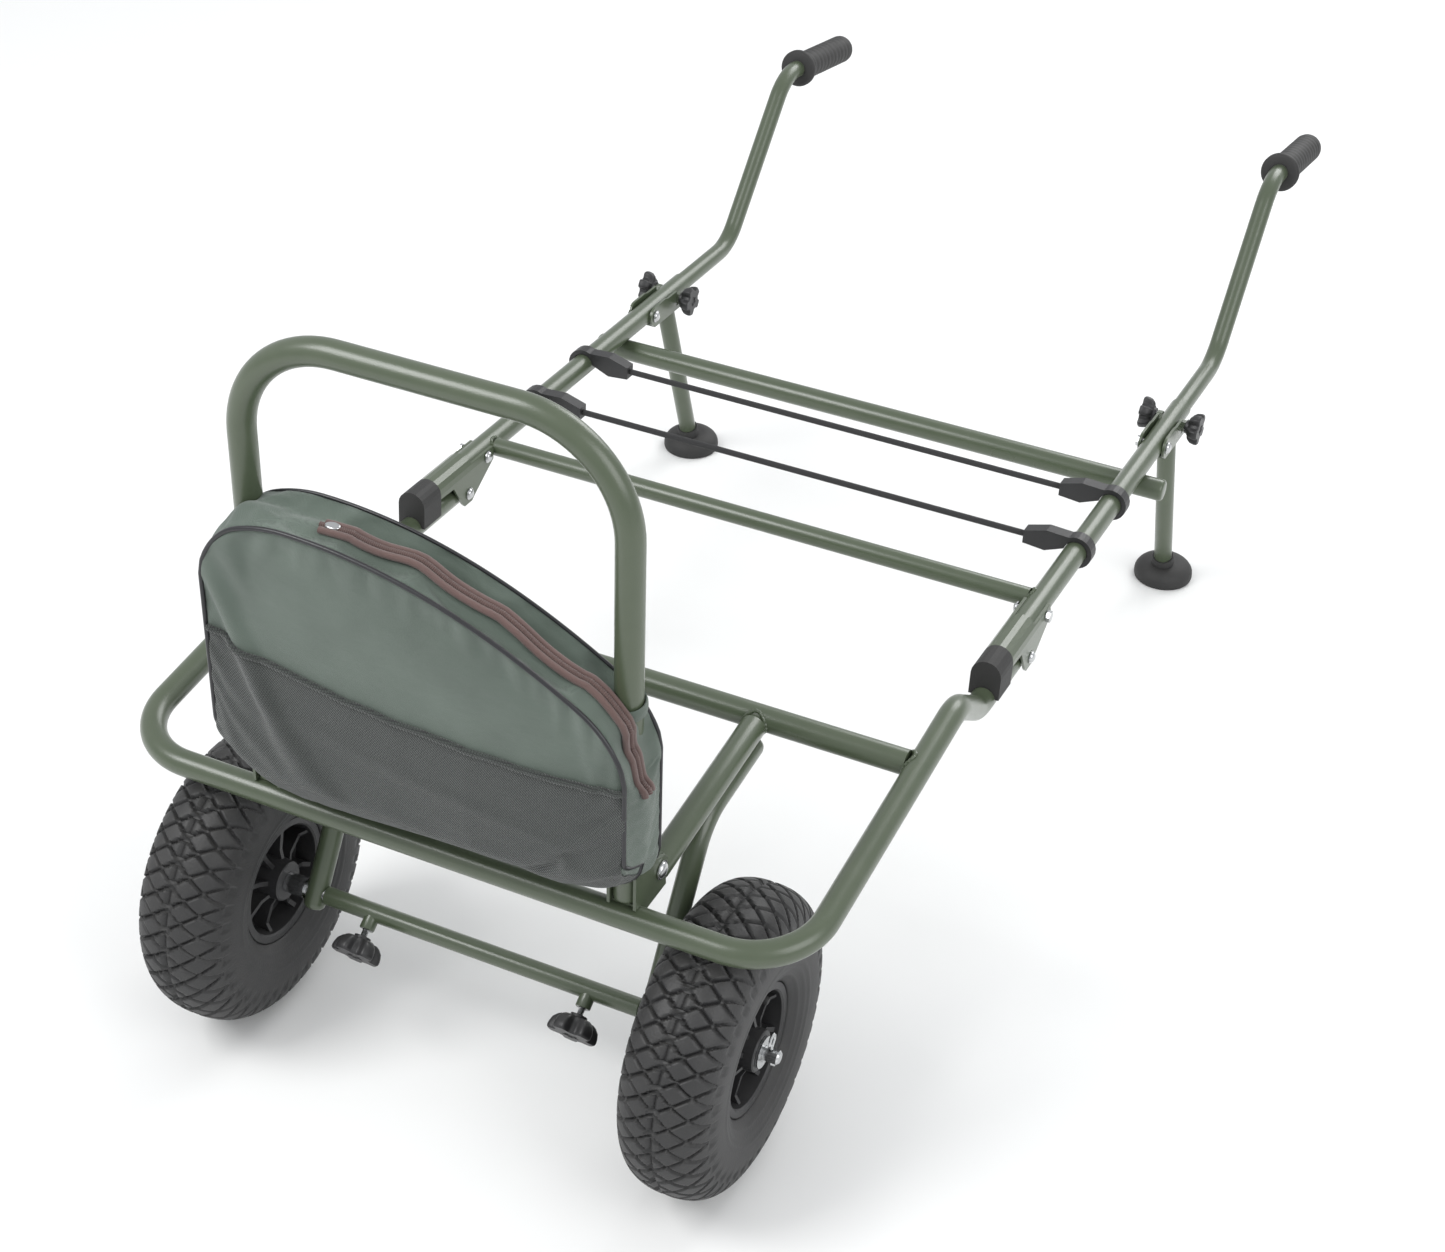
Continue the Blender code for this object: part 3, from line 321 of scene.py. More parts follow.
def finish(name, base, worn, roughness, spread, grain, bump, dust=0.05, metallic=0.0, coat=0.0):
    """A plain finish: the shared group feeds colour, roughness and a bump of bump metres."""
    made = bpy.data.materials.new(name)
    made.use_nodes = True
    tree = made.node_tree
    shader = tree.nodes["Principled BSDF"]
    shader.inputs["Metallic"].default_value = metallic
    shader.inputs["Coat Weight"].default_value = coat
    shader.inputs["Coat Roughness"].default_value = 0.25
    group = tree.nodes.new("ShaderNodeGroup")
    group.node_tree = SURFACE
    values = {"Base": (*base, 1), "Worn": (*worn, 1), "Dust": (0.30, 0.28, 0.24, 1), "Dust Amount": dust}
    values |= {"Roughness": roughness, "Spread": spread, "Grain": grain}
    for title, value in values.items():
        group.inputs[title].default_value = value
    tree.links.new(group.outputs["Color"], shader.inputs["Base Color"])
    tree.links.new(group.outputs["Roughness"], shader.inputs["Roughness"])
    relief = node(tree, "Bump", values={"Strength": 1.0, "Distance": bump})
    tree.links.new(group.outputs["Height"], relief.inputs["Height"])
    tree.links.new(relief.outputs["Normal"], shader.inputs["Normal"])
    return made


PAINT = finish("olive paint", (0.062, 0.082, 0.047), (0.085, 0.105, 0.066), 0.30, 0.16, 900, 0.00012, 0.03,
               coat=0.35)
STEEL = finish("zinc plate", (0.60, 0.61, 0.62), (0.42, 0.42, 0.41), 0.26, 0.25, 700, 0.00008, 0.04, 1.0)
PLASTIC = finish("moulded black", (0.016, 0.016, 0.017), (0.03, 0.03, 0.031), 0.42, 0.2, 1400, 0.00015, 0.03)
RUBBER = finish("soft black rubber", (0.017, 0.017, 0.017), (0.033, 0.032, 0.031), 0.62, 0.2, 800, 0.0002, 0.04)
TYRE = finish("tyre rubber", (0.018, 0.018, 0.019), (0.04, 0.039, 0.038), 0.52, 0.25, 500, 0.00025, 0.06)
PIPING = finish("black piping", (0.012, 0.012, 0.014), (0.03, 0.03, 0.034), 0.33, 0.1, 900, 0.0001, 0.025)
print("finishes:", len(bpy.data.materials))

# %% [markdown]
# The floor is a wide pale sheet, and the light is soft and plain: one large lamp over each shoulder, one
# from behind to draw the tubes' edges, and a pale sky.

# %% Floor and lights
FLOOR_HALF = 40.0


def make_floor():
    mesh = bpy.data.meshes.new("floor")
    corners = [(-FLOOR_HALF, -FLOOR_HALF, 0), (FLOOR_HALF, -FLOOR_HALF, 0)]
    corners += [(FLOOR_HALF, FLOOR_HALF, 0), (-FLOOR_HALF, FLOOR_HALF, 0)]
    mesh.from_pydata(corners, [], [(0, 1, 2, 3)])
    coat = bpy.data.materials.new("pale floor")
    coat.use_nodes = True
    shader = coat.node_tree.nodes["Principled BSDF"]
    shader.inputs["Base Color"].default_value = (0.83, 0.83, 0.82, 1)
    shader.inputs["Roughness"].default_value = 0.8
    mesh.materials.append(coat)
    floor = bpy.data.objects.new("floor", mesh)
    SCENE.objects.link(floor)


def make_lamp(name, place, size, power):
    """A square lamp that faces the middle of the barrow."""
    lamp = bpy.data.lights.new(name, "AREA")
    lamp.size, lamp.energy = size, power
    holder = bpy.data.objects.new(name, lamp)
    holder.location = place
    aim = Vector((0, -0.1, 0.3)) - Vector(place)
    holder.rotation_euler = aim.to_track_quat("-Z", "Y").to_euler()
    SCENE.objects.link(holder)


make_floor()
make_lamp("key", (-1.6, -2.2, 3.0), 1.6, 75)
make_lamp("fill", (2.8, -1.2, 2.2), 2.2, 45)
make_lamp("edge", (0.6, 3.0, 2.4), 2.0, 55)
sky = bpy.data.worlds.new("sky")
sky.use_nodes = True
sky.node_tree.nodes["Background"].inputs[0].default_value = (0.95, 0.97, 1.0, 1)
sky.node_tree.nodes["Background"].inputs[1].default_value = 0.75
bpy.context.scene.world = sky
bpy.context.scene.view_settings.view_transform = "Standard"

# %% [markdown]
# Two stretched cords cross the load frame, each between a pair of hooks. A braided sleeve covers the elastic,
# so the cord is a round sweep whose finish crosses two sets of spiral bands. The cords hold straight.

# %% The frame's own directions
MAIN, SECOND, SPREADER, GAP, PLATE = 0.022, 0.019, 0.018, 0.0003, 0.0025
X, Y, Z = np.eye(3)
HINGE = np.array(joints["rear_fold"]["pos_m"])
ALONG = unit(joints["handle_slide_left"]["axis"])
ABOVE = np.cross(X, ALONG)
STACK = MAIN + 0.0015
REAR_HALF = joints["leg_fold_right"]["pos_m"][0]


def rear(x, s, h=STACK):
    """A point s behind the hinge along the load frame, and h above the hinge bolt."""
    return np.array([x, HINGE[1], HINGE[2]]) + s * ALONG + h * ABOVE


def place_along(node_name):
    """How far behind the hinge the middle of a node lies, along the load frame."""
    low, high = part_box(node_name)
    return float((np.array((low + high) / 2) - HINGE) @ ALONG)


# %% Elastic cords
def braid_finish():
    """Two crossing sets of spiral bands, read from the cord's own coordinates, make light and dark strands."""
    made = bpy.data.materials.new("braided cord")
    made.use_nodes = True
    tree = made.node_tree
    shader = tree.nodes["Principled BSDF"]
    shader.inputs["Roughness"].default_value = 0.72
    place = node(tree, "TexCoord").outputs["Object"]
    bands = []
    for lean in (1, -1):
        mapping = node(tree, "Mapping", values={"Scale": (1.0, 1.4 * lean, 1.4 * lean)})
        wave = node(tree, "TexWave", {"bands_direction": "DIAGONAL"}, {"Scale": 260.0, "Distortion": 0.3})
        tree.links.new(place, mapping.inputs["Vector"])
        tree.links.new(mapping.outputs["Vector"], wave.inputs["Vector"])
        bands.append(wave.outputs["Fac"])
    strands = maths(tree, "MAXIMUM", *bands)
    ramp = node(tree, "ValToRGB")
    ramp.color_ramp.elements[0].color = (0.004, 0.004, 0.004, 1)
    ramp.color_ramp.elements[1].color = (0.032, 0.032, 0.033, 1)
    tree.links.new(strands, ramp.inputs["Fac"])
    tree.links.new(ramp.outputs["Color"], shader.inputs["Base Color"])
    relief = node(tree, "Bump", values={"Distance": 0.0003})
    tree.links.new(strands, relief.inputs["Height"])
    tree.links.new(relief.outputs["Normal"], shader.inputs["Normal"])
    return made


BRAID = braid_finish()
CORD_D = 0.006
CORD_RISE = STACK + 0.0025


def make_cord(word):
    """A straight line between the two hooks' inner ends, swept with a circle."""
    low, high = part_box(f"elastic_cord_{word}")
    s = place_along(f"elastic_cord_{word}")
    path = np.array([rear(x, s, CORD_RISE) for x in np.linspace(low[0], high[0], 24)])
    name = f"stretch_cord_{word}"
    sleeve = [tube(path, CORD_D, Z, 0.0005, 20)]
    piece = build(name, sleeve, BRAID, "rear_frame", [f"elastic_cord_{word}"])


for word in ("front", "rear"):
    make_cord(word)

# %% [markdown]
# The frames are bent from round tube. Each tube is a path of straight runs and arcs, carried as a ring of
# points, so a bend keeps its true round section. The deck slopes up gently from the nose to the crossbar.

# %% Front frame
NOSE_REACH, NOSE_Z, DECK_RISE = 0.513, 0.275, math.radians(5.6)
CROSSBAR, JOG_START, JOG_END = 0.270, 0.192, 0.101
FRONT_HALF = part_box("front_tube")[1][0] - MAIN / 2
RAIL_HALF = sum(corner[0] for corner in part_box("inner_rail_right")) / 2
HOOP_PIVOT = np.array(joints["hoop_fold"]["pos_m"])
NOSE_BEND, JOG_BEND, HOOP_BEND, STRUT_BEND, HANDLE_BEND = 0.060, 0.045, 0.085, 0.050, 0.055


def front(x, reach, z):
    """A point reach in front of the hinge bolt."""
    return np.array([x, HINGE[1] - reach, z])


def deck(x, reach, above=0.0):
    """A point on the front frame's sloping plane."""
    return front(x, reach, NOSE_Z + (NOSE_REACH - reach) * math.tan(DECK_RISE) + above)


def front_route():
    """From one hinge end round the nose to the other: jog, straight side, corner, nose bar, and back."""
    half = []
    for side in (1, -1):
        corners = [rear(side * REAR_HALF, MAIN / 2, 0), rear(side * REAR_HALF, -JOG_END, 0)]
        corners += [deck(side * FRONT_HALF, JOG_START), deck(side * FRONT_HALF, (JOG_START + NOSE_REACH) / 2)]
        jog = bend(corners, JOG_BEND)
        corner = bend([corners[-1], deck(side * FRONT_HALF, NOSE_REACH), deck(0, NOSE_REACH)], NOSE_BEND)
        half.append(np.vstack([jog, corner[1:-1]]))
    return np.vstack([half[0], half[1][::-1]])


def weld(centre, axis, bar_r, host, host_r, bead=0.0018):
    """A bead round a bar that meets a tube at a right angle: the ring steps out by the tube's round back."""
    axis, host = unit(axis), unit(host)
    side = np.cross(axis, host)
    angle = np.linspace(0, 2 * math.pi, 72, endpoint=False)[:, None]
    out = np.sqrt(host_r**2 - (bar_r * np.sin(angle)) ** 2)
    ring = centre + out * axis + bar_r * (np.cos(angle) * host + np.sin(angle) * side)
    ripple = bead * (1 + 0.18 * np.sin(angle * 24))
    turn = np.linspace(0, 2 * math.pi, 8, endpoint=False)[None, :, None]
    spoke = (np.cos(angle) * host + np.sin(angle) * side)[:, None]
    points = ring[:, None] + ripple[:, None] * (np.cos(turn) * spoke + np.sin(turn) * axis[None, None])
    return shell(points, wrap_rows=True)


def make_front_frame():
    route = front_route()
    build("front_frame_tube", [tube(route, MAIN, Z, 0.005)], PAINT, "chassis", ["front_tube"])
    reach = FRONT_HALF - MAIN / 2 + 0.0002
    ends = [deck(-reach, CROSSBAR), deck(0, CROSSBAR), deck(reach, CROSSBAR)]
    bar = [tube(ends, MAIN, Z, 0.0001)]
    run = unit(deck(0, 0) - deck(0, 1))
    bar += [weld(deck(s * FRONT_HALF, CROSSBAR), -s * X, MAIN / 2 - 0.001, run, MAIN / 2) for s in (1, -1)]
    build("crossbar", bar, PAINT, "chassis", ["front_crossbar"])
    for word, side in SIDES.items():
        x = side * RAIL_HALF
        start = deck(x, HINGE[1] - HOOP_PIVOT[1] - 0.015)
        end = deck(x, CROSSBAR + MAIN / 2)
        rail = [tube([start, (start + end) / 2, end], MAIN, Z, 0.0012)]
        rail.append(weld(deck(x, CROSSBAR), -run, MAIN / 2 - 0.001, X, MAIN / 2))
        build(f"rail_{word}", rail, PAINT, "chassis", [f"inner_rail_{word}"])


make_front_frame()

# %% [markdown]
# Under the deck, two struts drop from the rails to the sleeve that holds both wheel rods. Each strut is one bent
# tube, and the sleeve carries a short threaded boss for each clamp knob.

# %% Undercarriage
AXLE = np.array(joints["wheel_turn_right"]["pos_m"]) * (0, 1, 1)
STRUT_REAR, STRUT_KNEE = 0.276, 0.374
RAIL_SCREWS, AXLE_TUBE_D, BOSS_X, POLE_R = (0.292, 0.338), 0.016, 0.102, 0.00002
KNOB_AIM = unit(joints["axle_knob_turn_right"]["axis"])


def dome(radius, height, steps=6):
    """Profile rows of a low dome, from its rim to its crown."""
    turn = np.radians(np.linspace(0, 90, steps))
    return np.stack([radius * np.cos(turn), height * np.sin(turn)], 1)


def make_bolt(name, start, end, head, body, nodes=(), shank=0.003):
    """A domed head and washer at start, a shank, and a six-sided nut at end."""
    start, end = np.asarray(start, float), np.asarray(end, float)
    axis = unit(start - end)
    long = np.linalg.norm(start - end)
    cap = np.vstack([[[shank, -long]], [[shank, 0.0]], [[head, 0.0]], [[head, 0.0009]],
                     dome(head * 0.86, 0.0031) + (0, 0.0009)])
    cap[-1, 0] = POLE_R
    hexagon = arc(0, 0, 0.0055, 0, 360, 6)[:-1]
    across = unit(np.cross(axis, (0.3, 0.2, 0.9)))
    nut = prism(hexagon, 0.0038, end - 0.0019 * axis, across, np.cross(axis, across))
    return build(name, [turned(cap, start, axis, 28), nut], STEEL, body, nodes, 30)


def make_undercarriage():
    drop = -((MAIN + SECOND) / 2 + GAP) / math.cos(DECK_RISE)
    for word, side in SIDES.items():
        x = side * RAIL_HALF
        knee, foot = deck(x, STRUT_KNEE, drop), AXLE + x * X
        foot = foot + unit(foot - knee) * 0.015
        route = bend([deck(x, STRUT_REAR, drop), knee, foot], STRUT_BEND)
        build(f"strut_tube_{word}", [tube(route, SECOND, X, 0.006)], PAINT, "chassis",
              [f"strut_{word}"])
        for number, reach in enumerate(RAIL_SCREWS):
            under = deck(x, reach, 1.5 * drop)
            lift = unit(deck(x, reach, 0) - under)
            screw = np.vstack([[[0.0048, -0.001]], [[0.0048, 0.0022]], dome(0.0042, 0.0012) + (0, 0.0022)])
            screw[-1, 0] = POLE_R
            cover = turned(screw, under + 0.001 * lift, -lift, 24)
            build(f"rail_screw_{number}_{word}", [cover], STEEL, "chassis")
    reach = RAIL_HALF - SECOND / 2 - GAP
    route = [AXLE - reach * X, AXLE, AXLE + reach * X]
    boss = [[0.0001, 0.004], [0.0065, 0.004], [0.0065, 0.0152], [0.0059, 0.016]]
    boss += [[0.0034, 0.016], [0.0034, 0.013]]
    shells = [tube(route, AXLE_TUBE_D, Z, 0.0008)]
    shells += [turned(boss, AXLE + s * BOSS_X * X, KNOB_AIM, 32) for s in (1, -1)]
    build("axle_sleeve", shells, PAINT, "chassis", ["axle_tube"])


make_undercarriage()

# %% [markdown]
# The load frame has two side bars that stay open at their far ends, so that the handles can slide in. A turned
# profile that goes round the lip and back inside gives the tube its wall.

# %% Load frame
TUBE_FRONT, TUBE_END = -0.079, 0.492
FRONT_SPREADER = place_along("front_spreader")
REAR_SPREADER = place_along("rear_spreader")
CLAMP_S = float((np.array(joints["handle_knob_turn_left"]["pos_m"]) - HINGE) @ ALONG)
LEG_S = float((np.array(joints["leg_fold_left"]["pos_m"]) - HINGE) @ ALONG)


def open_tube(start, end, diameter, wall):
    """A tube that is open at its far end: the ring runs along the outside, turns over the lip and goes in."""
    length = float(np.linalg.norm(np.asarray(end) - start))
    r, inner, deep = diameter / 2, diameter / 2 - wall, 0.09
    profile = [(0.0001, 0), (r - 0.001, 0), (r, 0.001), (r, length - 0.0003), (r - 0.0003, length)]
    profile += [(inner + 0.0003, length), (inner, length - 0.0003)]
    profile += [(inner, length - deep), (0.0001, length - deep)]
    return turned(profile, start, unit(np.asarray(end) - start), 40)


def nut_on(place, axis, size=0.012, height=0.0055):
    """The six-sided nut welded to a tube, that a clamp knob screws into."""
    across = unit(np.cross(axis, ABOVE))
    hexagon = arc(0, 0, size / 2, 0, 360, 6)[:-1]
    return prism(hexagon, height, place, across, np.cross(axis, across))


def make_load_frame():
    for word, side in SIDES.items():
        x = side * REAR_HALF
        shells = [open_tube(rear(x, TUBE_FRONT), rear(x, TUBE_END), MAIN, 0.0012)]
        shells.append(nut_on(rear(x, CLAMP_S) - 0.0133 * X, -X))
        build(f"side_bar_{word}", shells, PAINT, "rear_frame", [f"side_tube_{word}"])
    reach = REAR_HALF - MAIN / 2 + 0.0002
    bar = [tube([rear(-reach, FRONT_SPREADER), rear(0, FRONT_SPREADER), rear(reach, FRONT_SPREADER)],
                SPREADER, Z, 0.0001)]
    bar += [weld(rear(s * REAR_HALF, FRONT_SPREADER), -s * X, SPREADER / 2 - 0.0005, ALONG, MAIN / 2)
            for s in (1, -1)]
    build("front_spreader_tube", bar, PAINT, "rear_frame", ["front_spreader"])
    h = STACK - MAIN - GAP
    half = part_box("rear_spreader")[1][0]
    ends = [rear(s * half, REAR_SPREADER, h) for s in (-1, 0, 1)]
    build("rear_spreader_tube", [tube(ends, MAIN, Z, 0.0035)], PAINT, "rear_frame",
          ["rear_spreader"])


make_load_frame()

# %% [markdown]
# A pneumatic tyre has square shoulders and a tread of diamond blocks. The section is a superellipse, and the
# grooves are two families of slanted lines: where either one passes, the surface sinks by the groove's depth.

# %% Tyres
WHEEL_R = float(AXLE[2])
TYRE_R, TREAD_COUNT, GROOVE = 0.041, 40, 0.0032
RING = WHEEL_R - TYRE_R
HUB_HALF, BEAD_ANGLE = 0.034, math.radians(141)


def step_up(value, low, high):
    """A smooth rise from 0 to 1 between low and high."""
    share = np.clip((value - low) / (high - low), 0, 1)
    return share * share * (3 - 2 * share)


def tyre_surface(hub, side):
    """Radius = ring + r |cos|^p, width = r |sin|^p. The tread's depth depends on the angle and the width."""
    lip = BEAD_ANGLE
    turn = np.linspace(0, 2 * math.pi, 720, endpoint=False)[:, None]
    v = np.linspace(-lip, lip, 121)[None, :]
    power = 0.80
    wide = np.sign(np.sin(v)) * np.abs(np.sin(v)) ** power * TYRE_R
    tall = np.sign(np.cos(v)) * np.abs(np.cos(v)) ** power * TYRE_R
    seat = RING + TYRE_R * math.cos(lip) + 0.0003
    radius = np.maximum(RING + tall, seat) + 0 * turn
    lane = wide / TYRE_R
    phase = TREAD_COUNT * turn / (2 * math.pi)
    ahead = np.abs((phase + 1.55 * lane) % 1 - 0.5)
    back = np.abs((phase - 1.55 * lane) % 1 - 0.5)
    block = step_up(np.minimum(ahead, back), 0.045, 0.10)
    ridge = step_up(np.abs(lane), 0.03, 0.05)
    tread = step_up(np.cos(v), 0.30, 0.42)
    radius = radius - GROOVE * (1 - block * ridge) * tread
    lugs = step_up(np.sin(phase * 2 * math.pi), -0.2, 0.2)
    shoulder = np.exp(-(((np.cos(v) - 0.24) / 0.09) ** 2))
    wide = wide - np.sign(wide) * (0.0016 * (1 - lugs) * shoulder)
    for height, size in ((-0.28, 0.0009), (-0.42, 0.0006), (-0.60, 0.0009)):
        band = np.exp(-(((tall / TYRE_R - height) / 0.022) ** 2)) * (RING + tall > seat)
        wide = wide + np.sign(wide) * size * band
    wide = np.clip(wide, -TYRE_R, TYRE_R)
    points = hub + side * wide[..., None] * X
    points = points + radius[..., None] * (np.cos(turn)[..., None] * Z + np.sin(turn)[..., None] * Y)
    return shell(points, wrap_rows=True)


def rim_shells(hub, side):
    """A turned hub, web and ring, with eight ribs standing on each face."""
    seat = RING + TYRE_R * math.cos(BEAD_ANGLE)
    edge = TYRE_R * math.sin(math.radians(140)) + 0.0040
    bore, web, hub_r = 0.0066, 0.007, 0.0175
    half = [(bore, HUB_HALF - 0.0008), (bore + 0.0008, HUB_HALF), (hub_r - 0.001, HUB_HALF)]
    half += [(hub_r, HUB_HALF - 0.001), (hub_r + 0.002, web + 0.003), (hub_r + 0.005, web), (seat - 0.013, web)]
    half += [(seat - 0.0095, web + 0.003), (seat - 0.008, edge - 0.0015), (seat - 0.0065, edge)]
    half += [(seat - 0.001, edge), (seat, edge - 0.001)]
    profile = np.array(half + [(r, -h) for r, h in reversed(half)])
    turn = np.linspace(0, 2 * math.pi, 96, endpoint=False)[None, :, None]
    spoke = np.cos(turn) * Z + np.sin(turn) * Y
    ring = hub + side * profile[:, 1, None, None] * X + profile[:, 0, None, None] * spoke
    shells = [shell(ring, wrap_rows=True)]
    outline = [(hub_r - 0.003, web - 0.001), (seat - 0.007, web - 0.001), (seat - 0.007, edge - 0.004)]
    outline += [(seat - 0.014, edge - 0.010), (hub_r + 0.008, HUB_HALF - 0.012)]
    outline += [(hub_r - 0.003, HUB_HALF - 0.007)]
    for k in range(8):
        angle = 2 * math.pi * (k + 0.5) / 8
        out = math.cos(angle) * Z + math.sin(angle) * Y
        for face in (1, -1):
            shells.append(prism(outline, 0.0042, hub, out, face * X))
    return shells


def make_wheels():
    for word, side in SIDES.items():
        hub = np.array(joints[f"wheel_turn_{word}"]["pos_m"])
        tyre = build(f"tyre_tread_{word}", [tyre_surface(hub, side)], TYRE, f"wheel_{word}",
                     [f"tyre_{word}"], 50)
        build(f"rim_ribbed_{word}", rim_shells(hub, side), PLASTIC, f"wheel_{word}", [f"rim_{word}"], 35)
        out = unit(0.8 * Z + 0.6 * Y)
        stem = [(0.0001, 0), (0.0042, 0.0005), (0.0042, 0.006), (0.0028, 0.008), (0.0028, 0.013)]
        stem += [(0.0036, 0.0135), (0.0036, 0.019), (0.0028, 0.0205), (0.0001, 0.0205)]
        valve = turned(stem, hub + 0.042 * out + side * 0.0075 * X, unit(side * X - 0.15 * out), 24)
        build(f"valve_{word}", [valve], RUBBER, f"wheel_{word}")
        print("tyre", word, "faces:", len(tyre.data.polygons))


make_wheels()

# %% [markdown]
# The clamp knobs have five square lobes that flare out from a neck. The lobes come from the cosine of five
# times the angle, pushed towards its ends so that each lobe has a flat top and the gaps are round scoops.

# %% Star knobs
KNOB_LOBES = 5
AXLE_KNOB = {"radius": 0.0215, "height": 0.015, "face": 0.0255, "tip": 0.0069}
LEG_KNOB = {"radius": 0.0165, "height": 0.012, "face": 0.0205, "tip": 0.0113}
HANDLE_KNOB = {"radius": 0.0165, "height": 0.012, "face": 0.0205, "tip": 0.0098}


def lobes(angle):
    """Each angle's share of the radius: full on a lobe, and less in a scoop."""
    wave = 0.5 + 0.5 * np.cos(KNOB_LOBES * angle)
    return 0.70 + 0.30 * step_up(wave, 0.05, 0.75)


def make_knob(name, spot, aim, size, body, node_name):
    """A neck, a flared lobed skirt, a rounded crown with a dish, and the steel stud under it."""
    radius, height, face, tip = size["radius"], size["height"], size["face"], size["tip"]
    neck = [(0.0001, -0.003), (0.0072, -0.003), (0.0075, 0.0006)]
    crown = [(0.0001, height - 0.0012), (radius * 0.30, height - 0.0012), (radius * 0.36, height)]
    skirt = [(0.66, 0.0), (0.78, 0.10), (0.93, 0.34), (0.985, 0.62), (1.0, 0.82), (0.985, 0.93), (0.93, 1.0)]
    skirt = [(radius * share, height * high) for share, high in skirt]
    base = np.asarray(spot) + face * aim
    star = turned([(0.0001, 0.0), *skirt, *crown[::-1]], base, aim, 120, lobes)
    build(name, [star, turned([*neck, (0.0001, 0.0006)], base, aim, 40)], PLASTIC, body,
          [node_name], 38)
    thread = [(0.0001, tip)] + [(0.00295 - 0.0003 * (k % 2), tip + 0.0004 + 0.0005 * k)
                                for k in range(int((face - tip) / 0.0005) - 2)] + [(0.0001, face)]
    build(f"{name}_stud", [turned(thread, spot, aim, 24)], STEEL, body, (), 60)


def make_knobs():
    for word, side in SIDES.items():
        kinds = ("axle", "leg", "handle")
        spots = {kind: np.array(joints[f"{kind}_knob_turn_{word}"]["pos_m"]) for kind in kinds}
        make_knob(f"axle_star_{word}", spots["axle"], KNOB_AIM, AXLE_KNOB, f"axle_clamp_{word}",
                  f"axle_knob_{word}")
        make_knob(f"leg_star_{word}", spots["leg"], X, LEG_KNOB, f"leg_clamp_{word}", f"leg_knob_{word}")
        make_knob(f"handle_star_{word}", spots["handle"], -X, HANDLE_KNOB, f"handle_clamp_{word}",
                  f"handle_knob_{word}")


make_knobs()

# %% [markdown]
# Each handle slides in the open end of a side bar, rises at about fifty degrees and ends in a black grip. The
# grip is a turned sleeve with shallow rings for the fingers and a guard at its front end.

# %% Handles and grips
HANDLE_KNEE, HANDLE_START, HANDLE_RISE, HANDLE_TAIL = 0.611, 0.410, 0.212, 0.172
RISE_ANGLE, DROP_ANGLE = math.radians(49.5), math.radians(7)
GRIP_LENGTH, GRIP_R, FLANGE_R = 0.138, 0.016, 0.021


def handle_corners(x):
    knee = rear(x, HANDLE_KNEE)
    shoulder = knee + HANDLE_RISE * (math.cos(RISE_ANGLE) * ALONG + math.sin(RISE_ANGLE) * ABOVE)
    tail = math.cos(DROP_ANGLE) * ALONG - math.sin(DROP_ANGLE) * ABOVE
    return rear(x, HANDLE_START), knee, shoulder, shoulder + HANDLE_TAIL * tail, tail


def make_handles():
    for word, side in SIDES.items():
        start, knee, shoulder, tip, tail = handle_corners(side * REAR_HALF)
        route = bend([start, knee, shoulder, tip - 0.006 * tail], HANDLE_BEND)
        build(f"handle_bar_{word}", [tube(route, SECOND, X, 0.001)], PAINT, f"handle_assembly_{word}",
              [f"handle_{word}"])
        run = np.linspace(0.014 - GRIP_LENGTH, -0.012, 60)
        ring = GRIP_R - 0.0007 * step_up(np.sin(run * 2 * math.pi / 0.0105), 0.1, 0.7)
        guard = [(0.0096, -GRIP_LENGTH), (FLANGE_R - 0.003, -GRIP_LENGTH)]
        guard += [(FLANGE_R - 0.0008, 0.0012 - GRIP_LENGTH)]
        guard += [(FLANGE_R, 0.003 - GRIP_LENGTH), (FLANGE_R, 0.0065 - GRIP_LENGTH)]
        guard += [(FLANGE_R - 0.0012, 0.0085 - GRIP_LENGTH), (GRIP_R + 0.001, 0.0105 - GRIP_LENGTH)]
        turn = np.radians(np.linspace(0, 90, 6))
        lip = np.stack([GRIP_R - 0.006 + 0.006 * np.cos(turn), -0.008 + 0.008 * np.sin(turn)], 1)
        profile = np.vstack([guard, np.stack([ring, run], 1), lip, [(0.0001, 0.0)]])
        grip = turned(profile, tip, tail, 56)
        build(f"grip_sleeve_{word}", [grip], RUBBER, f"handle_assembly_{word}",
              [f"grip_{word}"], 50)


make_handles()

# %% [markdown]
# A leg is a channel of folded plate that straddles the side bar, a raked tube, and a round rubber foot.

# %% Legs and feet
LEG_BACK, LEG_RAKE, BRACKET_BACK, FOOT_R = 0.051, math.radians(19.2), 0.072, 0.0315


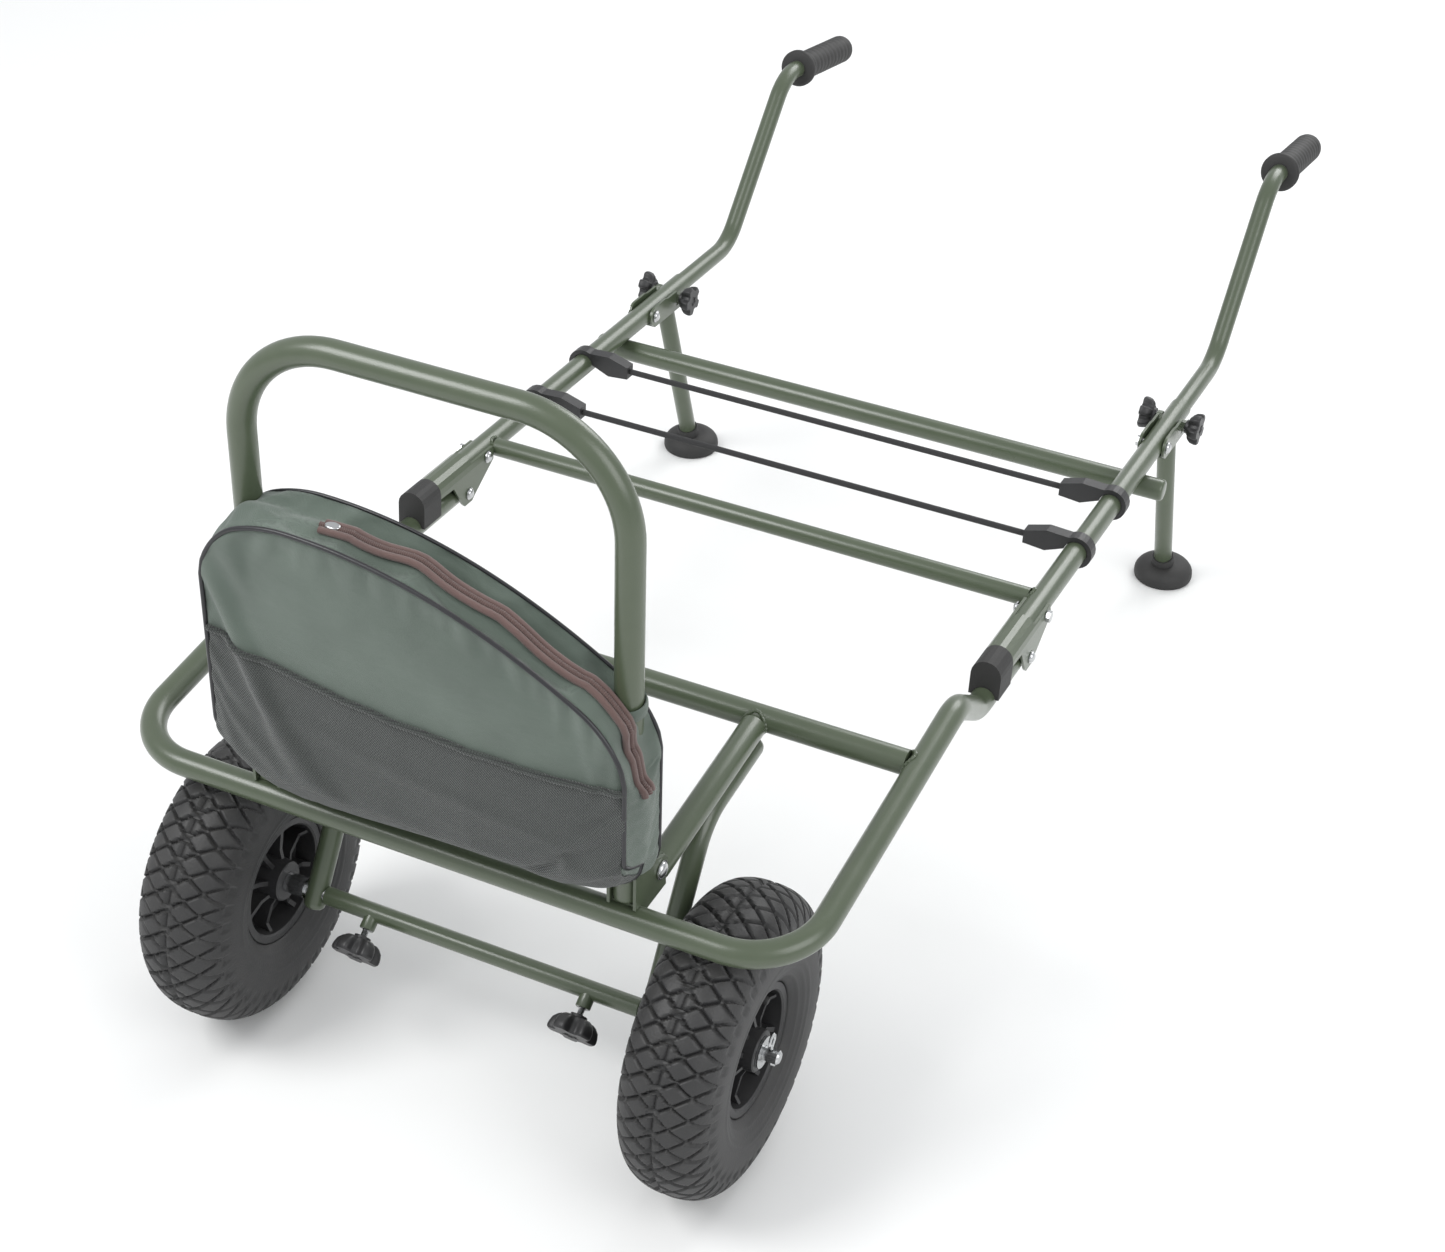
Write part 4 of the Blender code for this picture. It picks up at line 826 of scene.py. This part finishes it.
def make_legs():
    for word, side in SIDES.items():
        x = side * REAR_HALF
        body = f"leg_assembly_{word}"
        top = rear(x, LEG_S + LEG_BACK) - (MAIN / 2 + 0.002) * ABOVE
        rake = np.array([0, math.sin(LEG_RAKE), -math.cos(LEG_RAKE)])
        floor = top + rake * (top[2] / math.cos(LEG_RAKE))
        inner, outer = MAIN / 2 + GAP, MAIN / 2 + GAP + PLATE
        cheek = [(-0.011, 0.0)] + arc(0, 0, 0.011, 180, 90, 8).tolist() + [(0.024, 0.011), (0.030, 0.009)]
        cheek += [(0.0515, 0.009), (0.0515, -0.0085), (BRACKET_BACK - 0.002, -0.0085), (BRACKET_BACK, -0.0125)]
        cheek += [(BRACKET_BACK, -outer), (0.0, -outer + 0.001), (-0.0085, -0.007)]
        hub = rear(x, LEG_S)
        shells = [prism(cheek, PLATE, hub + way * (inner + PLATE / 2) * X, ALONG, ABOVE) for way in (-1, 1)]
        web = [(0.001, -outer), (BRACKET_BACK, -outer), (BRACKET_BACK, -inner), (0.001, -inner)]
        shells.append(prism(web, 2 * inner + PLATE, hub, ALONG, ABOVE))
        under = top + rake * 0.0035
        shells.append(tube([under, (under + floor) / 2, floor - rake * 0.008], SECOND, X, 0.001))
        knob_spot = rear(x, LEG_S + LEG_BACK + 0.004)
        shells.append(nut_on(knob_spot + (outer + 0.0005) * X, X, 0.012, 0.0045))
        bar = build(f"leg_bar_{word}", shells, PAINT, body, [f"leg_{word}"], 35)
        print("leg", word, "faces:", len(bar.data.polygons))
        reach = outer + GAP
        make_bolt(f"leg_pivot_bolt_{word}", hub + reach * X, hub - reach * X, 0.0065, body, [f"leg_bolt_{word}"])
        low = [(0.0001, 0.0), (FOOT_R - 0.0022, 0.0), (FOOT_R - 0.0006, 0.0009)]
        low += [(FOOT_R, 0.003), (FOOT_R, 0.0062)]
        turn = np.radians(np.linspace(0, 80, 9))
        crown = np.stack([0.0105 + (FOOT_R - 0.0105) * np.cos(turn), 0.0062 + 0.0148 * np.sin(turn)], 1)
        pad = turned(np.vstack([low, crown, [(0.0001, 0.0211)]]), floor, Z, 64)
        collar = [(0.0001, 0.006), (0.0119, 0.006), (0.0119, 0.0325), (0.0112, 0.034), (0.0001, 0.034)]
        build(f"foot_pad_{word}", [pad, turned(collar, floor, -rake, 40)], RUBBER, body,
              [f"foot_{word}"], 40)


make_legs()

# %% [markdown]
# Bolts show their domed heads and nuts. The plates, hooks and end blocks have their true shape already, so they
# only take a finish.

# %% Hinge fittings and hooks
def make_fittings():
    """Bolts are turned anew, and the plates, hooks and end blocks keep their cut shape with a new finish."""
    reach = MAIN / 2 + GAP + PLATE + GAP
    for word, side in SIDES.items():
        x = side * REAR_HALF
        make_bolt(f"hinge_pivot_{word}", rear(x + reach, 0, 0), rear(x - reach, 0, 0), 0.006, "rear_frame",
                  [f"hinge_bolt_{word}"])
        keeper = place_along(f"keeper_bolt_{word}")
        make_bolt(f"keeper_{word}", rear(x - side * reach, keeper), rear(x + side * reach, keeper), 0.006,
                  "rear_frame", [f"keeper_bolt_{word}"])
        half = 0.0185 / 2 + 3 * GAP + PLATE + GAP
        pivot = HOOP_PIVOT + side * RAIL_HALF * X
        make_bolt(f"hoop_rivet_{word}", pivot + half * X, pivot - half * X, 0.008, "chassis",
                  [f"hoop_bolt_{word}"])
    coats = {"rail_lug": PAINT, "saddle": PAINT, "hook": PLASTIC, "end_block": RUBBER}
    coats |= {"axle_left": STEEL, "axle_right": STEEL, "washer": STEEL, "split_pin": STEEL}
    for name, kept in frame["nodes"].items():
        for start, coat in coats.items():
            if name.startswith(start):
                kept.data.materials.clear()
                kept.data.materials.append(coat)
                kept.data.shade_smooth()
                kept.data.set_sharp_from_angle(angle=math.radians(35))


make_fittings()

# %% [markdown]
# The hoop is one tube with two round bends, and a pair of ears at each foot takes its pivot bolt.

# %% Hoop
HOOP_REACH, HOOP_TOP = 0.507, 0.693


def make_hoop():
    foot = NOSE_Z + MAIN / 2 + 0.004
    corners = [front(-RAIL_HALF, HOOP_REACH, foot), front(-RAIL_HALF, HOOP_REACH, HOOP_TOP)]
    corners += [front(RAIL_HALF, HOOP_REACH, HOOP_TOP), front(RAIL_HALF, HOOP_REACH, foot)]
    shells = [tube(bend(corners, HOOP_BEND), MAIN, Y, 0.003)]
    low = NOSE_Z + MAIN / 2 + 0.0008 - HOOP_PIVOT[2]
    outline = arc(0, 0, 0.012, math.degrees(math.asin(low / 0.012)), 90, 12).tolist()
    outline = [(-0.042, low)] + outline + [(-0.020, 0.022), (-0.042, 0.022)]
    offset = 0.0185 / 2 + 2 * GAP + PLATE / 2
    for side in (-1, 1):
        for way in (-1, 1):
            place = HOOP_PIVOT + (side * RAIL_HALF + way * offset) * X
            shells.append(prism(outline, PLATE, place, Y, Z))
    build("hoop_tube", shells, PAINT, "hoop_frame", ["hoop"], 35)


make_hoop()

# %% [markdown]
# The bag is sewn from a front panel, a back panel and a long gusset. Both panels are sheets of points whose
# top line arches and sags to the right, and the gusset joins their edges. Pinned at its seams, the cloth is
# then let go under a little pressure, so that the panels take soft hollows and puckers of their own.

# %% Bag shape
BAG_HALF, BAG_LOW, BAG_HIGH, CREST_X = 0.176, 0.302, 0.5605, -0.10
FACE_REACH, BACK_REACH, POCKET_LEFT, POCKET_RIGHT = 0.548, 0.4945, 0.457, 0.424
ACROSS, HEIGHT, POCKET_ROW, GUSSET_ROWS = 64, 48, 26, 14


def top_line(x):
    """The top arches from its crest and falls by the square of the distance, much more on the right."""
    left = 0.028 * np.clip((CREST_X - x) / (BAG_HALF + CREST_X), 0, None) ** 2
    right = 0.100 * np.clip((x - CREST_X) / (BAG_HALF - CREST_X), 0, None) ** 2
    return BAG_HIGH - left - right


def corner_lift(across, size, start):
    """How far a panel's edge draws in near its side, as a quarter of an ellipse."""
    share = np.clip((np.abs(across) - start) / (1 - start), 0, 1)
    return size * (1 - np.sqrt(np.clip(1 - share**2, 0, 1)))


def panel(reach, puff, grow=0.0, tuck=0.0):
    """Rows from bottom to top, with one on the pocket's hem. Puff swells the panel, and tuck draws its foot back."""
    across = np.linspace(-1, 1, ACROSS)[None, :]
    across = np.sign(across) * (1 - (1 - np.abs(across)) ** 1.25)
    x = across * (BAG_HALF + grow)
    low = BAG_LOW - grow + corner_lift(across, 0.036, 0.72) + 0.006 * np.sin(2.4 * across + 0.6)
    high = top_line(x) + grow - corner_lift(across, 0.030, 0.80)
    hem = POCKET_LEFT + (POCKET_RIGHT - POCKET_LEFT) * (across + 1) / 2 - 0.010 * (1 - across**2)
    lower = np.linspace(0, 1, POCKET_ROW)[:, None]
    upper = np.linspace(0, 1, HEIGHT - POCKET_ROW + 1)[1:, None]
    z = np.vstack([low + (hem - low) * lower, hem + (high - hem) * upper])
    share = (z - low) / (high - low)
    swell = puff * (1 - across**4) * (1 - (2 * share - 1) ** 4)
    y = HINGE[1] - reach - swell + tuck * np.clip(1 - share / 0.22, 0, 1) ** 1.6
    return np.stack([x + 0 * z, y + 0 * z, z], -1)


def rim_of(rows, cols):
    """The indices round the edge of a panel, in order, starting at its lower left."""
    index = np.arange(rows * cols).reshape(rows, cols)
    return np.concatenate([index[0, :-1], index[:-1, -1], index[-1, :0:-1], index[:0:-1, 0]])


def bag_points():
    """The front panel, the rings of the gusset between the two seams, and the back panel."""
    face, back = panel(FACE_REACH, 0.013, tuck=0.030), panel(BACK_REACH, -0.002, 0.002)
    edge = rim_of(HEIGHT, ACROSS)
    start, end = face.reshape(-1, 3)[edge], back.reshape(-1, 3)[edge]
    t = np.linspace(0, 1, GUSSET_ROWS + 2)[1:-1, None, None]
    ring = start + (end - start) * t
    middle = ring.mean(axis=(0, 1))
    out = unit((ring - middle) * (1, 0, 1) + (0, 0, 1e-9))
    top = np.clip((ring[..., 2:] - 0.44) / 0.08, 0, 1)
    swell = 0.0035 * np.sin(math.pi * t)
    ridge = 0.007 * top * np.exp(-(((t - 0.42) / 0.16) ** 2)) - 0.009 * top * np.exp(-(((t - 0.66) / 0.10) ** 2))
    ripple = 0.0016 * np.sin(ring[..., :1] * 95 + 4 * t) * np.sin(math.pi * t)
    ring = ring + out * (swell + ridge * (0.4 + 0.6 * step_up(ring[..., :1], -0.14, 0.02)) + ripple)
    ring[..., 2] = np.minimum(ring[..., 2], BAG_HIGH + 0.006)
    return face, ring, back, edge


def bag_faces(edge):
    """Panel faces, and gusset faces that run from the front seam through the rings to the back seam."""
    size, loop = HEIGHT * ACROSS, len(edge)
    rings = size + np.arange(GUSSET_ROWS * loop).reshape(GUSSET_ROWS, loop)
    back_start = size + GUSSET_ROWS * loop
    rows = np.vstack([edge[None], rings, back_start + edge[None]])
    after = np.roll(rows, -1, axis=1)
    gusset = np.stack([rows[:-1], after[:-1], after[1:], rows[1:]], -1).reshape(-1, 4)
    face = grid_faces(HEIGHT, ACROSS, wrap_cols=False)
    return face, gusset, back_start + face


# %% [markdown]
# Cloth is told by its threads. Two crossing waves make a small weave for canvas and tape, and a coarse one for the
# net whose open squares show a fixed dark green: the canvas behind it, darkened with painted shade.

# %% Cloth finishes
def weave_group():
    """Two sets of threads cross: the finer the pitch, the smaller the squares. Their product is the height."""
    gives = [("Height", "Float"), ("Mask", "Float")]
    tree, start, end = new_group("crossed threads", [("Pitch", "Float")], gives)
    split = node(tree, "SeparateXYZ")
    tree.links.new(node(tree, "TexCoord").outputs["Object"], split.inputs[0])
    waves = []
    for place in (maths(tree, "ADD", split.outputs["X"], split.outputs["Y"]), split.outputs["Z"]):
        turns = maths(tree, "DIVIDE", place, start.outputs["Pitch"])
        waves.append(maths(tree, "SINE", maths(tree, "MULTIPLY", turns, 2 * math.pi), 0.0))
    product = maths(tree, "MULTIPLY", *waves)
    tree.links.new(product, end.inputs["Height"])
    tree.links.new(maths(tree, "GREATER_THAN", maths(tree, "ABSOLUTE", product, 0.0), 0.42), end.inputs["Mask"])
    return tree


WEAVE = weave_group()


def cloth_finish(name, base, shade, pitch, bump, roughness, painted_shade_in_holes=None, sheen=0.25):
    """Cloudy colour under a woven bump. Where a hole colour is given, the open squares of a net show it: the cloth
    behind, darkened as painted shade.
    """
    made = bpy.data.materials.new(name)
    made.use_nodes = True
    tree = made.node_tree
    shader = tree.nodes["Principled BSDF"]
    shader.inputs["Sheen Weight"].default_value = sheen
    shader.inputs["Sheen Roughness"].default_value = 0.5
    group = tree.nodes.new("ShaderNodeGroup")
    group.node_tree = WEAVE
    group.inputs["Pitch"].default_value = pitch
    ramp = node(tree, "ValToRGB")
    ramp.color_ramp.elements[0].position, ramp.color_ramp.elements[1].position = 0.3, 0.75
    ramp.color_ramp.elements[0].color, ramp.color_ramp.elements[1].color = (*shade, 1), (*base, 1)
    cloud = noise(tree, 16.0, 6.0)
    tree.links.new(cloud, ramp.inputs["Fac"])
    colour = ramp.outputs["Color"]
    if painted_shade_in_holes:
        # Painted shade: the net's open squares take one fixed dark colour that stands for the shaded cloth behind
        # them.
        under = node(tree, "RGB")
        under.outputs[0].default_value = (*painted_shade_in_holes, 1)
        colour = mixed(tree, group.outputs["Mask"], colour, under.outputs[0])
    tree.links.new(colour, shader.inputs["Base Color"])
    swing = maths(tree, "MULTIPLY", maths(tree, "SUBTRACT", cloud, 0.5), 0.2)
    tree.links.new(maths(tree, "ADD", swing, roughness), shader.inputs["Roughness"])
    creases = noise(tree, 38.0, 3.0, (1.0, 1.0, 2.2))
    soft = node(tree, "Bump", values={"Distance": 0.0016, "Strength": 0.55})
    tree.links.new(creases, soft.inputs["Height"])
    relief = node(tree, "Bump", values={"Distance": bump})
    tree.links.new(group.outputs["Height"], relief.inputs["Height"])
    tree.links.new(soft.outputs["Normal"], relief.inputs["Normal"])
    tree.links.new(relief.outputs["Normal"], shader.inputs["Normal"])
    return made


CANVAS = cloth_finish("green canvas", (0.115, 0.150, 0.122), (0.078, 0.106, 0.084), 0.0011, 0.00018, 0.72)
# The net's open squares show a dark green: the canvas behind it, with painted shade.
NET = cloth_finish("black net", (0.014, 0.015, 0.015), (0.010, 0.011, 0.011), 0.0026, 0.0004, 0.66,
                   (0.045, 0.055, 0.047))
TAPE = cloth_finish("zip tape", (0.155, 0.090, 0.078), (0.105, 0.062, 0.054), 0.0009, 0.00014, 0.68)


# %% [markdown]
# The simulation moves the panels, and a cap keeps every point near where it was sewn. The sewn trims are made
# afterwards from the settled points, so that they lie on the cloth.

# %% Let the cloth go
LAST_FRAME, FURTHEST = 20, 0.007


def settle(piece, pins, most):
    """Runs the cloth under pressure with its seams pinned, then limits how far each point has moved."""
    rest = np.empty(len(piece.data.vertices) * 3)
    piece.data.vertices.foreach_get("co", rest)
    rest = rest.reshape(-1, 3)
    held = piece.vertex_groups.new(name="seams")
    held.add([int(i) for i in pins], 1.0, "REPLACE")
    cloth = piece.modifiers.new("cloth", "CLOTH")
    cloth.settings.quality, cloth.settings.mass = 6, 0.25
    cloth.settings.vertex_group_mass = "seams"
    cloth.settings.shrink_min = -0.035
    cloth.settings.bending_stiffness = 0.6
    cloth.settings.use_pressure, cloth.settings.uniform_pressure_force = True, 1.2
    cloth.settings.effector_weights.gravity = 0.25
    cloth.point_cache.frame_start, cloth.point_cache.frame_end = 1, LAST_FRAME
    scene = bpy.context.scene
    for step in range(1, LAST_FRAME + 1):
        scene.frame_set(step)
    shape = piece.evaluated_get(bpy.context.evaluated_depsgraph_get())
    moved = np.empty(len(shape.data.vertices) * 3)
    shape.data.vertices.foreach_get("co", moved)
    moved = moved.reshape(-1, 3)
    piece.modifiers.remove(cloth)
    scene.frame_set(1)
    piece.vertex_groups.clear()
    shift = moved - rest
    long = np.linalg.norm(shift, axis=1, keepdims=True)
    shift = shift * np.minimum(1, most / np.maximum(long, 1e-9))
    piece.data.vertices.foreach_set("co", (rest + shift).ravel())
    piece.data.update()
    print("cloth moved at most", round(float(long.max()) * 1000, 1), "mm")


def plain_piece(name, points, faces, coat, body="hoop_frame", nodes=(), level=1, thick=0.0):
    """An unwelded piece that keeps the order of its points, with its faces turned outward."""
    mesh = bpy.data.meshes.new(name)
    mesh.from_pydata(np.asarray(points).reshape(-1, 3).tolist(), [], np.asarray(faces).tolist())
    mesh.materials.append(coat)
    work = bmesh.new()
    work.from_mesh(mesh)
    bmesh.ops.recalc_face_normals(work, faces=work.faces)
    work.to_mesh(mesh)
    work.free()
    mesh.shade_smooth()
    piece = bpy.data.objects.new(name, mesh)
    SCENE.objects.link(piece)
    if thick:
        wall = piece.modifiers.new("wall", "SOLIDIFY")
        wall.thickness, wall.offset = thick, 0.0
    if level:
        soft = piece.modifiers.new("soft", "SUBSURF")
        soft.levels = soft.render_levels = level
    return piece


def bag_cord(name, ring, radius, coat, ripple=0.0, wrap=True):
    """A thin sewn cord along some points. A zip's coil has a ripple in its radius."""
    ahead = unit((np.roll(ring, -1, axis=0) - np.roll(ring, 1, axis=0)) if wrap else np.gradient(ring, axis=0))
    side = unit(np.cross(ahead, (0.03, 1.0, 0.05)))
    lift = np.cross(side, ahead)
    angle = np.linspace(0, 2 * math.pi, 10, endpoint=False)[None, :, None]
    radii = radius * (1 + ripple * (np.arange(len(ring)) % 2))[:, None, None]
    points = ring[:, None] + radii * (np.cos(angle) * side[:, None] + np.sin(angle) * lift[:, None])
    return build(name, [shell(points, wrap_rows=wrap)], coat, "hoop_frame", (), 60)


def resample(line, count):
    """Even points along a line, by its running length."""
    run = np.concatenate([[0], np.cumsum(np.linalg.norm(np.diff(line, axis=0), axis=1))])
    even = np.linspace(0, run[-1], count)
    return np.stack([np.interp(even, run, line[:, k]) for k in range(3)], 1)


# %% Bag
def make_bag():
    face, ring, back, edge = bag_points()
    points = np.vstack([face.reshape(-1, 3), ring.reshape(-1, 3), back.reshape(-1, 3)])
    faces = np.vstack(bag_faces(edge))
    bag = plain_piece("bag_canvas", points, faces, CANVAS, level=0)
    back_start = HEIGHT * ACROSS + GUSSET_ROWS * len(edge)
    settle(bag, np.concatenate([edge, np.arange(back_start, len(points))]), FURTHEST)
    soft = bag.modifiers.new("soft", "SUBSURF")
    soft.levels = soft.render_levels = 1
    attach(bag, "hoop_frame")
    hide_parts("bag")
    now = np.empty(len(points) * 3)
    bag.data.vertices.foreach_get("co", now)
    return now.reshape(-1, 3), edge, back_start


def make_bag_trim(points, edge, back_start):
    """Piping on both seams, the net pocket with its bound hem, and the zip along the top of the gusset."""
    loop = len(edge)
    seam = points[edge]
    bag_cord("piping_front", resample(np.vstack([seam, seam[:1]]), 420)[:-1] - (0, 0.0008, 0), 0.0019, PIPING)
    rear_seam = points[back_start + edge]
    bag_cord("piping_back", resample(np.vstack([rear_seam, rear_seam[:1]]), 420)[:-1], 0.0015, PIPING)
    panel_points = points[: HEIGHT * ACROSS].reshape(HEIGHT, ACROSS, 3)
    net = panel_points[:POCKET_ROW, 1:-1] - (0, 0.0016, 0)
    across = np.linspace(-1, 1, net.shape[1])[None, :]
    row = np.linspace(0, 1, POCKET_ROW)[:, None]
    slack = 0.0022 * np.sin(math.pi * row) * (1 - across**2)
    crease = 0.0016 * np.exp(-(((row - 0.85 + 0.42 * (across + 1) / 2) / 0.05) ** 2)) * (1 - across**2)
    net = net - (slack + crease)[..., None] * Y
    pocket_faces = grid_faces(*net.shape[:2], wrap_cols=False)
    pocket = plain_piece("net_pocket", net, pocket_faces, NET, thick=0.0009)
    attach(pocket, "hoop_frame")
    hem = resample(net[-1], 220)
    bag_cord("pocket_hem", hem - (0, 0.0006, 0), 0.0026, NET, wrap=False)
    rings = points[HEIGHT * ACROSS:back_start].reshape(GUSSET_ROWS, loop, 3)
    line = rings[:, int(ACROSS + 0.45 * HEIGHT):int(ACROSS + HEIGHT + 0.66 * ACROSS)]
    middle = rings.mean(axis=(0, 1))
    zip_line = resample(line[5], 420)
    out = unit((zip_line - middle) * (1, 0, 1))
    zip_line = zip_line + out * 0.0022
    bag_cord("zip_coil", zip_line, 0.0019, TAPE, 0.35, wrap=False)
    for name, offset in (("front", -0.0052), ("back", 0.0052)):
        strip = zip_line + offset * Y - out * 0.0010
        bag_cord(f"zip_tape_{name}", strip[::3], 0.0028, TAPE, wrap=False)
    spot = zip_line[-14]
    pull = build("zip_pull", [prism(arc(0, 0, 0.0042, 0, 360, 20)[:-1] * (1.5, 1), 0.0052, spot, X, Y)], STEEL,
                 "hoop_frame", (), 40, 0.0008)
    print("bag pieces done,", len(pull.data.polygons), "faces on the pull")


def make_leg_loop():
    """A cloth loop round the hoop's right leg ties the bag to it."""
    angle = np.linspace(0, 2 * math.pi, 60, endpoint=False)[:, None]
    centre = front(RAIL_HALF, HOOP_REACH, 0.47)
    ring = centre + (MAIN / 2 + 0.0016) * (np.cos(angle) * X + np.sin(angle) * Y) + 0.0025 * np.sin(angle) * Z
    turn = np.linspace(0, 2 * math.pi, 10, endpoint=False)[None, :, None]
    spoke = (np.cos(angle) * X + np.sin(angle) * Y)[:, None]
    points = ring[:, None] + 0.0014 * np.cos(turn) * spoke + 0.0052 * np.sin(turn) * Z
    build("hoop_loop", [shell(points, wrap_rows=True)], CANVAS, "hoop_frame")


make_bag_trim(*make_bag())
make_leg_loop()
